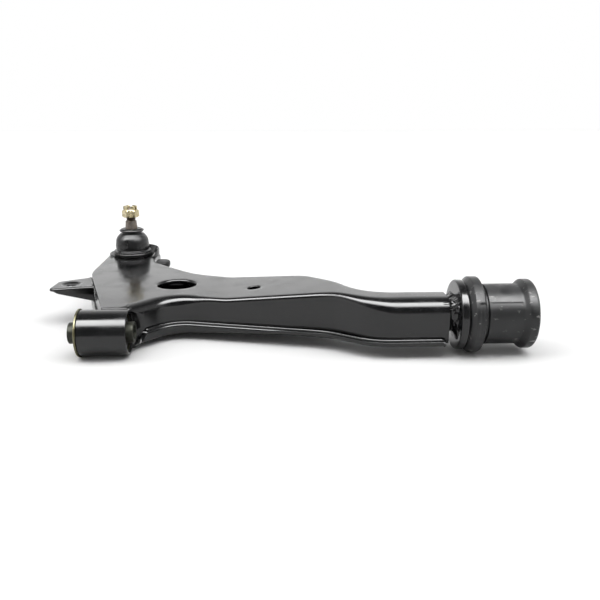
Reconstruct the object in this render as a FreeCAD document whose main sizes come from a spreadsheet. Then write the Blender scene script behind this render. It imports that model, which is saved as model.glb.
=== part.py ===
import FreeCAD, Part
import math
import os
import re
import Sketcher

# Front lower control arm: two pressed shells welded into a flat box, with a pivot bush in a
# tube at the front, a clamp-type rubber bush on a spindle at the rear and a ball joint at the
# outboard end. Millimetres. Origin: middle of the front bush's inner sleeve, on its axis.
# +X runs along the pivot line to the rear bush, +Y outboard to the ball joint, +Z up.

DIMENSIONS = [
    # room that cutting shapes keep
    ("margin", 5.0, "how far a cutting shape reaches past what it cuts"),
    ("far_margin", 60.0, "how far a side profile reaches past the arm"),
    ("bolt_way", 20.0, "room kept clear of the shells past the tube's right end"),
    # shells
    ("wall", 3.0, "thickness of the pressed shells"),
    ("top_front", 22.0, "height of the flat top beside the front bush"),
    ("top_crown", 36.0, "height of the top where it peaks before the rear leg"),
    ("top_leg", 34.5, "height of the top of the rear leg"),
    ("crown_start", 118.0, "X where the top starts to rise"),
    ("crown_peak", 232.0, "X of the peak of the top"),
    ("leg_start", 280.0, "X where the rear leg's top is level"),
    ("crown_radius", 70.0, "radius of the bends in the top's side profile"),
    ("shoulder", 6.0, "outside radius between the top and the walls"),
    ("skirt_end", -8.7, "height of the upper shell's lower edge, inside the tray"),
    ("tray_rim", -6.5, "height of the lower shell's rim"),
    ("tray_front", -18.5, "height of the underside at the front"),
    ("tray_leg", -12.0, "height of the underside at the rear leg"),
    ("tray_rise_start", 60.0, "X where the underside starts to rise"),
    ("tray_rise_end", 180.0, "X where the underside stops rising"),
    ("seam_gap", 0.1, "gap between the upper shell's skirt and the tray"),
    ("weld_size", 2.8, "leg of the seam's fillet weld"),
    ("weld_bevel", 2.5, "leg of the bevel that slopes the seam's weld"),
    ("weld_gap", 0.2, "how far a bead or a tab starts from the wall that it is welded to"),
    ("weld_proud", 1.0, "how far the spindle's weld stands out of the leg"),
    # plan outline of the upper shell, corner by corner
    ("leg_end", 336.0, "X of the rear leg's open end"),
    ("leg_half", 22.5, "half width of the rear leg"),
    ("near_leg_x", 264.0, "inner edge: bend into the rear leg"),
    ("near_leg_bend", 55.0, "radius of that bend"),
    ("near_mid_x", 222.0, "inner edge: bend at the middle, X"),
    ("near_mid_y", 9.0, "inner edge: bend at the middle, Y"),
    ("near_mid_bend", 70.0, "radius of that bend"),
    ("near_top_x", 62.0, "inner edge: bend above the front bush, X"),
    ("near_top_y", 53.0, "inner edge: bend above the front bush, Y"),
    ("near_top_bend", 36.0, "radius of that bend"),
    ("throat_x", 27.0, "inner edge where it meets the tube, X"),
    ("tube_edge_y", 11.0, "Y of the shell's edge on the tube"),
    ("left_root_x", -2.0, "left edge where it meets the tube, X"),
    ("left_side_x", -47.5, "X of the straight left edge"),
    ("left_bend_y", 165.0, "left edge: Y of its bend"),
    ("left_bend", 90.0, "radius of that bend"),
    ("end_y", 302.0, "Y of the outboard end"),
    ("end_right_x", 19.0, "X of the outboard end's right side"),
    ("end_bend", 33.0, "radius of the outboard end's corners"),
    ("neck_y", 222.0, "outer edge: Y of the neck below the ball joint"),
    ("neck_bend", 40.0, "radius of that bend"),
    ("far_front_x", 76.0, "outer edge: hollow beside the big hole, X"),
    ("far_front_y", 154.0, "outer edge: hollow beside the big hole, Y"),
    ("far_front_bend", 90.0, "radius of that bend"),
    ("far_mid_x", 204.0, "outer edge: bulge at the middle, X"),
    ("far_mid_y", 98.0, "outer edge: bulge at the middle, Y"),
    ("far_mid_bend", 45.0, "radius of that bend"),
    ("far_leg_x", 256.0, "outer edge: bend into the rear leg"),
    ("far_leg_bend", 32.0, "radius of that bend"),
    # holes of the top
    ("big_hole_x", 61.0, "big hole, X"),
    ("big_hole_y", 103.0, "big hole, Y"),
    ("big_hole_radius", 21.0, "big hole, radius"),
    ("small_hole_x", 147.0, "small hole, X"),
    ("small_hole_y", 70.0, "small hole, Y"),
    ("small_hole_radius", 7.0, "small hole, radius"),
    ("drain_hole_radius", 6.0, "drain hole in the underside"),
    # front bush
    ("tube_radius", 22.5, "eye tube, outside"),
    ("tube_bore", 19.5, "eye tube, bore radius"),
    ("tube_left", -20.5, "eye tube, left end"),
    ("tube_right", 26.5, "eye tube, right end"),
    ("tube_chamfer", 1.0, "eye tube, end chamfer"),
    ("can_wall", 1.5, "outer sleeve, wall"),
    ("can_flange_radius", 23.75, "outer sleeve, flange radius"),
    ("can_flange", 2.0, "outer sleeve, flange thickness"),
    ("can_right", 24.5, "outer sleeve, right end"),
    ("bush_rubber_left", -24.0, "front rubber, left end"),
    ("bush_rubber_right", 23.0, "front rubber, right end"),
    ("rubber_dish", 3.5, "how far the rubber's end faces are hollowed"),
    ("sleeve_radius", 10.5, "inner sleeve, outside"),
    ("sleeve_bore", 7.15, "inner sleeve, bore radius for an M14 bolt"),
    ("sleeve_half", 31.5, "inner sleeve, half length"),
    ("sleeve_chamfer", 1.0, "inner sleeve, end chamfer"),
    ("running_gap", 0.05, "radial gap between a rubber and the piece that turns in it"),
    # rear bush
    ("rear_axis_z", 13.75, "height of the rear bush's axis"),
    ("spindle_radius", 12.0, "spindle"),
    ("spindle_start", 322.0, "spindle, end inside the leg"),
    ("spindle_end", 418.0, "spindle, rear end"),
    ("spindle_chamfer", 1.5, "spindle, end chamfer"),
    ("end_plate", 5.0, "plate in the leg's end, thickness"),
    ("end_plate_inset", 1.0, "plate in the leg's end, how far it is set in"),
    ("end_plate_corner", 4.0, "plate in the leg's end, corner radius"),
    ("collar_start", 345.0, "collar, front face"),
    ("collar_end", 353.6, "collar, rear face"),
    ("collar_radius", 34.5, "collar, radius"),
    ("collar_round", 2.5, "collar, edge chamfer"),
    ("rear_sleeve_radius", 15.0, "rear inner sleeve, outside"),
    ("rear_sleeve_end", 420.5, "rear inner sleeve, rear end"),
    ("bush_start", 354.0, "rear bush, front face"),
    ("ring_radius", 37.5, "rear bush, ring radius"),
    ("ring_end", 368.5, "rear bush, end of the ring's full radius"),
    ("ring_chamfer", 3.0, "rear bush, ring's front chamfer"),
    ("barrel_radius", 30.0, "rear bush, barrel radius"),
    ("barrel_start", 373.0, "rear bush, start of the barrel"),
    ("barrel_end", 407.0, "rear bush, end of the barrel"),
    ("barrel_step", 3.0, "rear bush, height of the step between ring and barrel"),
    ("barrel_step_run", 1.0, "rear bush, run of that step along the axis"),
    ("flange_radius", 34.4, "rear bush, end flange radius"),
    ("flange_start", 411.5, "rear bush, start of the flange's full radius"),
    ("flange_end", 421.0, "rear bush, rear face"),
    ("flange_chamfer", 3.5, "rear bush, rear chamfer"),
    # stabiliser bracket
    ("tab_top", 18.0, "tab, height of its top face"),
    ("tab_plate", 3.0, "tab, thickness"),
    ("tab_tip_x", -81.0, "tab, X of its tip"),
    ("tab_tip_far_x", -79.0, "tab, X of the tip's outer corner"),
    ("tab_tip_near_y", 101.5, "tab, tip, inner corner Y"),
    ("tab_tip_far_y", 138.0, "tab, tip, outer corner Y"),
    ("tab_root_near_x", -32.8, "tab, root, inner corner X"),
    ("tab_root_near_y", 113.0, "tab, root, inner corner Y"),
    ("tab_root_far_x", -46.0, "tab, root, outer corner X"),
    ("tab_root_far_y", 158.0, "tab, root, outer corner Y"),
    ("tab_corner", 6.0, "tab, radius of the tip's corners"),
    ("tab_hole_x", -61.0, "tab, hole X"),
    ("tab_hole_y", 126.0, "tab, hole Y"),
    ("tab_hole_radius", 5.25, "tab, hole for an M10 link"),
    ("tab_dish_radius", 10.5, "tab, radius of the dish round the hole"),
    ("tab_dish_depth", 1.2, "tab, depth of the dish"),
    ("tab_rib_depth", 15.0, "tab, depth of its side ribs at the root"),
    ("tab_rib_tip_x", -73.5, "tab, X where the ribs start"),
    ("tab_taper_reach", 2.0, "tab, how far the ribs' taper runs past them at each end"),
    ("bead", 2.0, "width of the bracket's and the tube's weld beads"),
    ("bead_height", 1.6, "height of the bracket's weld bead"),
    ("bead_end", 1.5, "how far the bracket's bead stops short of the tab's sides"),
    ("bead_drop", 3.2, "how far below the tube's top the middle of its bead lies"),
    # steering stop
    ("stop_x", 19.2, "steering stop, X of its welded face"),
    ("stop_y", 249.0, "steering stop, middle Y"),
    ("stop_reach", 15.0, "steering stop, how far it stands out"),
    ("stop_half", 12.0, "steering stop, half width"),
    ("stop_top", 17.5, "steering stop, top"),
    ("stop_height", 9.0, "steering stop, thickness"),
    ("stop_round", 8.0, "steering stop, radius of its corners"),
    # ball joint
    ("ball_x", -16.5, "ball joint, X"),
    ("ball_y", 268.0, "ball joint, Y"),
    ("ball_z", 4.0, "height of the ball's centre"),
    ("ball_radius", 13.0, "ball"),
    ("neck_radius", 6.0, "stud, neck"),
    ("neck_end", 16.0, "stud, top of the neck"),
    ("shank_radius", 7.4, "stud, shank inside the boot"),
    ("shank_start", 30.0, "stud, start of the shank"),
    ("taper_start", 57.0, "stud, start of the taper"),
    ("taper_radius", 8.0, "stud, radius at the taper's start"),
    ("taper_end", 67.5, "stud, end of the taper"),
    ("taper_end_radius", 7.0, "stud, radius at the taper's end"),
    ("thread_radius", 6.0, "stud, M12 thread"),
    ("thread_end", 83.5, "stud, top of the thread"),
    ("thread_chamfer", 1.0, "stud, chamfer of the thread's end"),
    ("thread_step", 0.8, "stud, length of the step from taper to thread"),
    ("taper_step", 0.5, "stud, length of the step from shank to taper"),
    ("seat_radius", 16.5, "seat, outside"),
    ("seat_bottom", -12.0, "seat, bottom"),
    ("seat_top", 11.0, "seat, top"),
    ("seat_gap", 0.05, "radial gap between ball and seat"),
    ("cup_radius", 21.0, "housing, outside"),
    ("cup_bottom", -23.75, "housing, bottom rim"),
    ("cup_mouth", 11.6, "housing, radius of the mouth over the seat"),
    ("cup_lip", 18.4, "housing, radius of the mouth at its top"),
    ("cup_neck_radius", 20.0, "housing, neck through the top plate"),
    ("cup_shelf", 18.9, "housing, shelf under the top plate"),
    ("cup_top", 24.0, "housing, top"),
    ("cup_chamfer", 2.0, "housing, chamfer of its bottom edge"),
    ("cup_crimp", 0.6, "housing, how far its rim is crimped in under the cover"),
    ("cover_radius", 18.0, "cover, radius"),
    ("cover_step", 1.0, "cover, how much smaller its raised middle is than the seat"),
    ("cover_top", -14.0, "cover, top"),
    ("cover_bottom", -18.0, "cover, bottom"),
    ("lip_inner", 28.6, "raised lip, inside radius"),
    ("lip_outer", 32.3, "raised lip, outside radius"),
    ("lip_shift", 2.3, "raised lip, shift of its centre along X"),
    ("lip_sink", 1.0, "raised lip, how far its root is sunk in the top plate"),
    ("lip_top", 31.0, "raised lip, height at the back"),
    ("lip_ramp_start", 244.0, "raised lip, Y where it starts to rise"),
    ("lip_ramp_end", 262.0, "raised lip, Y where it is at full height"),
    # boot
    ("boot_base", 22.2, "boot, bottom"),
    ("boot_base_radius", 24.3, "boot, radius of its base bead"),
    ("boot_base_top", 29.0, "boot, top of its base bead"),
    ("boot_waist", 21.3, "boot, radius above the base bead"),
    ("boot_dome_z", 41.0, "boot, height of the dome's widest place"),
    ("boot_dome_radius", 21.8, "boot, dome radius"),
    ("boot_shoulder_z", 50.0, "boot, height of the dome's shoulder"),
    ("boot_shoulder_radius", 17.0, "boot, radius of the shoulder"),
    ("boot_lip_radius", 15.0, "boot, radius of the top lip"),
    ("boot_lip_z", 53.0, "boot, bottom of the top lip"),
    ("boot_top", 57.5, "boot, top"),
    ("boot_wall", 2.2, "boot, wall"),
    ("boot_edge", 1.0, "boot, rounding of its base bead and of its inside folds"),
    ("boot_bevel", 1.5, "boot, bevel of its top lip and of the inside shoulder"),
    ("boot_undercut", 2.0, "boot, depth of the undercut below the top lip"),
    ("boot_lip_step", 0.6, "boot, height of that undercut"),
    ("boot_fit", 0.3, "gap between the boot and the housing or a clip ring"),
    ("ring_wire", 0.8, "clip rings, wire radius"),
    ("lower_ring_z", 25.6, "lower clip ring, height"),
    ("upper_ring_z", 55.2, "upper clip ring, height"),
    # castle nut
    ("nut_bottom", 72.3, "castle nut, bottom"),
    ("nut_top", 87.0, "castle nut, top"),
    ("nut_flats", 19.0, "castle nut, across flats"),
    ("nut_crown_radius", 8.9, "castle nut, radius of the slotted crown"),
    ("nut_crown_height", 5.2, "castle nut, height of the slotted crown"),
    ("nut_slot", 3.4, "castle nut, slot width"),
    ("nut_turn", 10.0, "castle nut, turn of its hexagon about the stud, in degrees"),
    ("nut_bevel_slope", 0.6, "castle nut, rise over run of its corners' bevel"),
]

SHEET = "Sizes"
WORD = re.compile(r"[a-z][a-z_]*")
NOT_SIZES = ("sin", "cos", "deg")


def sized(text):
    """An expression with every size's name given its sheet's name."""
    return WORD.sub(lambda found: found.group(0) if found.group(0) in NOT_SIZES
                    else SHEET + "." + found.group(0), text)


def size_of(doc, text):
    """The present value of an expression of sizes."""
    return float(doc.getObject(SHEET).evalExpression(sized(text)))


def make_sheet(doc):
    sheet = doc.addObject("Spreadsheet::Sheet", SHEET)
    for row, (name, value, meaning) in enumerate(DIMENSIONS, start=1):
        sheet.set("A%d" % row, meaning)
        sheet.set("B%d" % row, str(value))
        sheet.setAlias("B%d" % row, name)
    doc.recompute()


# ---------------------------------------------------------------- sketches

ORIGIN = -1
START = 1
END = 2
CENTRE = 3


def hold_point(sketch, geometry, position, x, y):
    """Fix a point of the sketch at two expressions of sizes."""
    for kind, text in (("DistanceX", x), ("DistanceY", y)):
        value = size_of(sketch.Document, text)
        index = sketch.addConstraint(
            Sketcher.Constraint(kind, ORIGIN, START, geometry, position, value))
        sketch.setExpression("Constraints[%d]" % index, sized(text))


def draw_polygon(sketch, corners):
    """A closed polygon whose corners are pairs of expressions."""
    doc = sketch.Document
    points = [FreeCAD.Vector(size_of(doc, x), size_of(doc, y), 0) for x, y in corners]
    count = len(points)
    for index in range(count):
        sketch.addGeometry(Part.LineSegment(points[index], points[(index + 1) % count]), False)
    for index in range(count):
        sketch.addConstraint(
            Sketcher.Constraint("Coincident", index, END, (index + 1) % count, START))
    for index, (x, y) in enumerate(corners):
        hold_point(sketch, index, START, x, y)


def draw_circle(sketch, x, y, radius):
    doc = sketch.Document
    centre = FreeCAD.Vector(size_of(doc, x), size_of(doc, y), 0)
    value = size_of(doc, radius)
    circle = sketch.addGeometry(Part.Circle(centre, FreeCAD.Vector(0, 0, 1), value), False)
    hold_point(sketch, circle, CENTRE, x, y)
    index = sketch.addConstraint(Sketcher.Constraint("Radius", circle, value))
    sketch.setExpression("Constraints[%d]" % index, sized(radius))


def bend_ends(before, corner, after, radius):
    """Where an arc of this radius leaves the two sides of a corner, and its middle."""
    back = (before - corner).normalize()
    on = (after - corner).normalize()
    half = back.getAngle(on) / 2
    reach = radius / math.tan(half)
    first = corner + back * reach
    last = corner + on * reach
    middle = corner + (back + on).normalize() * (radius / math.sin(half) - radius)
    return first, middle, last


def draw_outline(sketch, corners):
    """A closed outline of straight sides and tangent arcs. Each corner is (x, y, radius)."""
    doc = sketch.Document
    points = [FreeCAD.Vector(size_of(doc, x), size_of(doc, y), 0) for x, y, _ in corners]
    count = len(points)
    bends = {}
    for index, (_, _, radius) in enumerate(corners):
        if radius:
            before = points[index - 1]
            after = points[(index + 1) % count]
            bends[index] = bend_ends(before, points[index], after, size_of(doc, radius))
    sides = []
    for index in range(count):
        following = (index + 1) % count
        first = bends[index][2] if index in bends else points[index]
        last = bends[following][0] if following in bends else points[following]
        sides.append(sketch.addGeometry(Part.LineSegment(first, last), False))
    for index, (x, y, radius) in enumerate(corners):
        side_in = sides[index - 1]
        side_out = sides[index]
        if index not in bends:
            sketch.addConstraint(Sketcher.Constraint("Coincident", side_in, END, side_out, START))
            hold_point(sketch, side_out, START, x, y)
            continue
        arc = sketch.addGeometry(Part.Arc(*bends[index]), False)
        turns_left = (points[index] - points[index - 1]).cross(
            points[(index + 1) % count] - points[index]).z > 0
        arc_in, arc_out = (START, END) if turns_left else (END, START)
        sketch.addConstraint(Sketcher.Constraint("Tangent", side_in, END, arc, arc_in))
        sketch.addConstraint(Sketcher.Constraint("Tangent", arc, arc_out, side_out, START))
        bend = sketch.addConstraint(
            Sketcher.Constraint("Radius", arc, size_of(doc, radius)))
        sketch.setExpression("Constraints[%d]" % bend, sized(radius))
        corner = sketch.addGeometry(Part.Point(points[index]), True)
        sketch.addConstraint(Sketcher.Constraint("PointOnObject", corner, START, side_in))
        sketch.addConstraint(Sketcher.Constraint("PointOnObject", corner, START, side_out))
        hold_point(sketch, corner, START, x, y)


# ---------------------------------------------------------------- bodies

def make_body(doc, label, x="0", y="0", z="0"):
    body = doc.addObject("PartDesign::Body", label)
    for side, text in (("x", x), ("y", y), ("z", z)):
        if text != "0":
            body.setExpression("Placement.Base." + side, sized(text))
    return body


def body_plane(body, role):
    return [plane for plane in body.Origin.OriginFeatures if plane.Role == role][0]


def sketch_on(body, role, name, height="0"):
    sketch = body.newObject("Sketcher::SketchObject", name)
    sketch.AttachmentSupport = [(body_plane(body, role), "")]
    sketch.MapMode = "FlatFace"
    if height != "0":
        sketch.setExpression("AttachmentOffset.Base.z", sized(height))
    return sketch


def revolve(body, sketch, axis):
    turn = body.newObject("PartDesign::Revolution", body.Label + "_turn")
    turn.Profile = sketch
    turn.ReferenceAxis = (sketch, [axis])
    turn.Angle = 360
    sketch.Document.recompute()
    return turn


def turned_along_x(doc, label, corners, z="0"):
    """A turned piece about an X axis. Corners are (x, radius)."""
    body = make_body(doc, label, z=z)
    sketch = sketch_on(body, "XZ_Plane", label + "_profile")
    draw_polygon(sketch, corners)
    revolve(body, sketch, "H_Axis")
    return body


def turned_on_ball_axis(doc, label, corners):
    """A turned piece about the ball joint's upright axis. Corners are (radius, z)."""
    body = make_body(doc, label, x="ball_x", y="ball_y")
    sketch = sketch_on(body, "XZ_Plane", label + "_profile")
    draw_polygon(sketch, corners)
    revolve(body, sketch, "V_Axis")
    return body


def pad(body, sketch, length, reverse=False):
    feature = body.newObject("PartDesign::Pad", sketch.Name + "_pad")
    feature.Profile = sketch
    feature.setExpression("Length", sized(length))
    feature.Reversed = reverse
    body.Document.recompute()
    return feature


def pocket(body, sketch, length, reverse=False, midplane=False):
    """Cut a pocket and make sure that it took metal away."""
    before = body.Shape.Volume
    feature = body.newObject("PartDesign::Pocket", sketch.Name + "_pocket")
    feature.Profile = sketch
    feature.setExpression("Length", sized(length))
    feature.Reversed = reverse
    feature.Midplane = midplane
    body.Document.recompute()
    if body.Shape.Volume >= before:
        raise RuntimeError(feature.Name + " cuts nothing")
    return feature


# ---------------------------------------------------------------- front bush

def front_bush(doc):
    tube = turned_along_x(doc, "front_bush_tube", [
        ("tube_left", "tube_bore"), ("tube_right", "tube_bore"),
        ("tube_right", "tube_radius - tube_chamfer"), ("tube_right - tube_chamfer", "tube_radius"),
        ("tube_left + tube_chamfer", "tube_radius"), ("tube_left", "tube_radius - tube_chamfer")])
    can = turned_along_x(doc, "front_outer_sleeve", [
        ("tube_left - can_flange", "tube_bore - can_wall"),
        ("can_right", "tube_bore - can_wall"), ("can_right", "tube_bore"),
        ("tube_left", "tube_bore"), ("tube_left", "can_flange_radius"),
        ("tube_left - can_flange", "can_flange_radius")])
    hollow = "(sleeve_radius + tube_bore - can_wall) / 2"
    rubber = turned_along_x(doc, "front_bush_rubber", [
        ("bush_rubber_left", "sleeve_radius + running_gap"),
        ("bush_rubber_right", "sleeve_radius + running_gap"),
        ("bush_rubber_right - rubber_dish", hollow),
        ("bush_rubber_right", "tube_bore - can_wall"),
        ("tube_left - can_flange", "tube_bore - can_wall"),
        ("bush_rubber_left + rubber_dish", hollow)])
    sleeve = turned_along_x(doc, "front_inner_sleeve", [
        ("-sleeve_half", "sleeve_bore"), ("sleeve_half", "sleeve_bore"),
        ("sleeve_half", "sleeve_radius - sleeve_chamfer"),
        ("sleeve_half - sleeve_chamfer", "sleeve_radius"),
        ("sleeve_chamfer - sleeve_half", "sleeve_radius"),
        ("-sleeve_half", "sleeve_radius - sleeve_chamfer")])
    return [tube, can, rubber, sleeve]


# ---------------------------------------------------------------- rear bush

def rear_bush(doc):
    spindle = turned_along_x(doc, "rear_spindle", [
        ("spindle_start", "0"), ("spindle_end", "0"),
        ("spindle_end", "spindle_radius - spindle_chamfer"),
        ("spindle_end - spindle_chamfer", "spindle_radius"),
        ("spindle_start", "spindle_radius")], z="rear_axis_z")
    collar = turned_along_x(doc, "rear_collar", [
        ("collar_start", "spindle_radius"), ("collar_end", "spindle_radius"),
        ("collar_end", "collar_radius - collar_round"),
        ("collar_end - collar_round", "collar_radius"),
        ("collar_start + collar_round", "collar_radius"),
        ("collar_start", "collar_radius - collar_round")], z="rear_axis_z")
    sleeve = turned_along_x(doc, "rear_inner_sleeve", [
        ("collar_end", "spindle_radius"), ("rear_sleeve_end", "spindle_radius"),
        ("rear_sleeve_end", "rear_sleeve_radius"), ("collar_end", "rear_sleeve_radius")],
        z="rear_axis_z")
    rubber = turned_along_x(doc, "rear_bush_rubber", [
        ("bush_start", "rear_sleeve_radius + running_gap"),
        ("flange_end", "rear_sleeve_radius + running_gap"),
        ("flange_end", "flange_radius - flange_chamfer"),
        ("flange_end - flange_chamfer", "flange_radius"),
        ("flange_start", "flange_radius"), ("barrel_end", "barrel_radius"),
        ("barrel_start", "barrel_radius"),
        ("barrel_start - barrel_step_run", "barrel_radius + barrel_step"),
        ("ring_end", "ring_radius"), ("bush_start + ring_chamfer", "ring_radius"),
        ("bush_start", "ring_radius - ring_chamfer")], z="rear_axis_z")
    return [spindle, collar, sleeve, rubber]


# ---------------------------------------------------------------- ball joint

def make_stud(doc):
    """Ball, neck, shank, taper and thread, turned in one piece."""
    body = make_body(doc, "ball_stud", x="ball_x", y="ball_y")
    ball = body.newObject("PartDesign::AdditiveSphere", "stud_ball")
    ball.setExpression("Radius", sized("ball_radius"))
    ball.AttachmentSupport = [(body_plane(body, "XY_Plane"), "")]
    ball.MapMode = "FlatFace"
    ball.setExpression("AttachmentOffset.Base.z", sized("ball_z"))
    doc.recompute()
    sketch = sketch_on(body, "XZ_Plane", "stud_profile")
    draw_polygon(sketch, [
        ("0", "ball_z"), ("neck_radius", "ball_z"), ("neck_radius", "neck_end"),
        ("shank_radius", "shank_start"), ("shank_radius", "taper_start - taper_step"),
        ("taper_radius", "taper_start"), ("taper_end_radius", "taper_end"),
        ("thread_radius", "taper_end + thread_step"),
        ("thread_radius", "thread_end - thread_chamfer"),
        ("thread_radius - thread_chamfer", "thread_end"), ("0", "thread_end")])
    revolve(body, sketch, "V_Axis")
    return body


def make_seat(doc):
    """Plastic cup that grips the ball above and below its middle."""
    body = turned_on_ball_axis(doc, "ball_seat", [
        ("0", "seat_bottom"), ("seat_radius", "seat_bottom"), ("seat_radius", "seat_top"),
        ("0", "seat_top")])
    hollow = body.newObject("PartDesign::SubtractiveSphere", "seat_hollow")
    hollow.setExpression("Radius", sized("ball_radius + seat_gap"))
    hollow.AttachmentSupport = [(body_plane(body, "XY_Plane"), "")]
    hollow.MapMode = "FlatFace"
    hollow.setExpression("AttachmentOffset.Base.z", sized("ball_z"))
    doc.recompute()
    return body


def ball_joint(doc):
    housing = turned_on_ball_axis(doc, "ball_joint_housing", [
        ("cover_radius - cup_crimp", "cup_bottom"), ("cup_radius - cup_chamfer", "cup_bottom"),
        ("cup_radius", "cup_bottom + cup_chamfer"), ("cup_radius", "cup_shelf"),
        ("cup_neck_radius", "cup_shelf"), ("cup_neck_radius", "cup_top"),
        ("cup_lip", "cup_top"), ("cup_mouth", "seat_top"), ("seat_radius", "seat_top"),
        ("seat_radius", "cover_top"), ("cover_radius", "cover_top"),
        ("cover_radius", "cover_bottom"), ("cover_radius - cup_crimp", "cover_bottom")])
    cover = turned_on_ball_axis(doc, "ball_joint_cover", [
        ("0", "cover_bottom"), ("cover_radius", "cover_bottom"), ("cover_radius", "cover_top"),
        ("seat_radius - cover_step", "cover_top"), ("seat_radius - cover_step", "seat_bottom"),
        ("0", "seat_bottom")])
    return [housing, cover, make_seat(doc), make_stud(doc)]


def ring_groove(radius, height):
    """Corners of a clip ring's groove, deeper and wider than the wire by the boot's gap."""
    low = height + " - ring_wire - boot_fit"
    high = height + " + ring_wire + boot_fit"
    bottom = radius + " - ring_wire - boot_fit"
    return [(radius, low), (bottom, low), (bottom, high), (radius, high)]


def make_boot(doc):
    """Dust boot: base bead, dome and a lip that grips the stud."""
    return turned_on_ball_axis(doc, "dust_boot", [
        ("cup_neck_radius + boot_fit", "boot_base"), ("boot_base_radius", "boot_base"),
        *ring_groove("boot_base_radius", "lower_ring_z"),
        ("boot_base_radius", "boot_base_top - boot_edge"), ("boot_waist", "boot_base_top"),
        ("boot_dome_radius", "boot_dome_z"), ("boot_shoulder_radius", "boot_shoulder_z"),
        ("boot_lip_radius - boot_undercut", "boot_lip_z"),
        ("boot_lip_radius", "boot_lip_z + boot_lip_step"),
        *ring_groove("boot_lip_radius", "upper_ring_z"),
        ("boot_lip_radius - boot_bevel", "boot_top"),
        ("shank_radius + running_gap", "boot_top - boot_bevel"),
        ("shank_radius + running_gap", "boot_lip_z"),
        ("boot_shoulder_radius - boot_wall - boot_edge", "boot_shoulder_z - boot_bevel"),
        ("boot_dome_radius - boot_wall", "boot_dome_z - boot_edge"),
        ("boot_waist - boot_wall + boot_edge", "boot_base_top"),
        ("cup_neck_radius + boot_fit", "cup_top")])


def clip_ring(doc, label, radius, height):
    """Round wire ring that sits in a groove of the boot."""
    body = make_body(doc, label, x="ball_x", y="ball_y")
    ring = body.newObject("PartDesign::AdditiveTorus", label + "_wire")
    ring.setExpression("Radius1", sized(radius))
    ring.setExpression("Radius2", sized("ring_wire"))
    ring.AttachmentSupport = [(body_plane(body, "XY_Plane"), "")]
    ring.MapMode = "FlatFace"
    ring.setExpression("AttachmentOffset.Base.z", sized(height))
    doc.recompute()
    return body


def castle_nut(doc):
    """Hexagon with a round slotted crown, bored over the thread."""
    body = make_body(doc, "castle_nut", x="ball_x", y="ball_y")
    hexagon = sketch_on(body, "XY_Plane", "nut_hexagon", height="nut_bottom")
    corner = "nut_flats / 2 / cos(30 deg)"
    draw_polygon(hexagon, [
        ("(%s) * cos((60 * %d + nut_turn) * 1 deg)" % (corner, side),
         "(%s) * sin((60 * %d + nut_turn) * 1 deg)" % (corner, side)) for side in range(6)])
    pad(body, hexagon, "nut_top - nut_crown_height - nut_bottom")
    crown = sketch_on(body, "XY_Plane", "nut_crown", height="nut_top - nut_crown_height")
    draw_circle(crown, "0", "0", "nut_crown_radius")
    pad(body, crown, "nut_crown_height")
    bore = sketch_on(body, "XY_Plane", "nut_bore", height="nut_top")
    draw_circle(bore, "0", "0", "thread_radius")
    pocket(body, bore, "nut_top - nut_bottom")
    slot = sketch_on(body, "XZ_Plane", "nut_slot")
    draw_polygon(slot, [
        ("-nut_slot / 2", "nut_top - nut_crown_height"),
        ("nut_slot / 2", "nut_top - nut_crown_height"),
        ("nut_slot / 2", "nut_top + margin"), ("-nut_slot / 2", "nut_top + margin")])
    cut = pocket(body, slot, "nut_flats * 2", midplane=True)
    # three cuts right across the crown make its six slots
    slots = body.newObject("PartDesign::PolarPattern", "nut_slots")
    slots.Originals = [cut]
    slots.Axis = (hexagon, ["N_Axis"])
    slots.Angle = 120
    slots.Occurrences = 3
    body.Tip = slots
    doc.recompute()
    bevel = sketch_on(body, "XZ_Plane", "nut_bevel_profile")
    draw_polygon(bevel, [
        ("nut_flats / 2", "nut_bottom"),
        ("nut_flats / 2 + margin", "nut_bottom"),
        ("nut_flats / 2 + margin", "nut_bottom + margin * nut_bevel_slope")])
    groove = body.newObject("PartDesign::Groove", "nut_lower_bevel")
    groove.Profile = bevel
    groove.ReferenceAxis = (bevel, ["V_Axis"])
    groove.Angle = 360
    doc.recompute()
    return body


# ---------------------------------------------------------------- shells

PLAN = [
    ("leg_end", "-leg_half", None),
    ("leg_end", "leg_half", None),
    ("far_leg_x", "leg_half", "far_leg_bend"),
    ("far_mid_x", "far_mid_y", "far_mid_bend"),
    ("far_front_x", "far_front_y", "far_front_bend"),
    ("end_right_x", "neck_y", "neck_bend"),
    ("end_right_x", "end_y", "end_bend"),
    ("left_side_x", "end_y", "end_bend"),
    ("left_side_x", "left_bend_y", "left_bend"),
    ("left_root_x", "tube_edge_y", None),
    ("throat_x", "tube_edge_y", None),
    ("near_top_x", "near_top_y", "near_top_bend"),
    ("near_mid_x", "near_mid_y", "near_mid_bend"),
    ("near_leg_x", "-leg_half", "near_leg_bend"),
]

FAR_LEFT = "left_side_x - far_margin"
FAR_RIGHT = "leg_end + far_margin"
FAR_DOWN = "tray_front - far_margin"
FAR_UP = "top_crown + far_margin"

EDGE_SLACK = 1.0      # how far an edge may lie from where a test looks for it


def plain_sketch(doc, name, upright=False, across=False):
    """A sketch on the document's own XY, XZ or YZ plane."""
    sketch = doc.addObject("Sketcher::SketchObject", name)
    if upright:
        turn = FreeCAD.Rotation(FreeCAD.Vector(1, 0, 0), 90)
        sketch.Placement = FreeCAD.Placement(FreeCAD.Vector(0, 0, 0), turn)
    if across:
        turn = FreeCAD.Rotation(FreeCAD.Vector(1, 1, 1), 120)
        sketch.Placement = FreeCAD.Placement(FreeCAD.Vector(0, 0, 0), turn)
    return sketch


def offset_outline(doc, name, source, distance):
    """The plan outline moved outwards (or inwards, if negative)."""
    offset = doc.addObject("Part::Offset2D", name)
    offset.Source = source
    offset.setExpression("Value", sized(distance))
    doc.recompute()
    return offset


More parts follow.
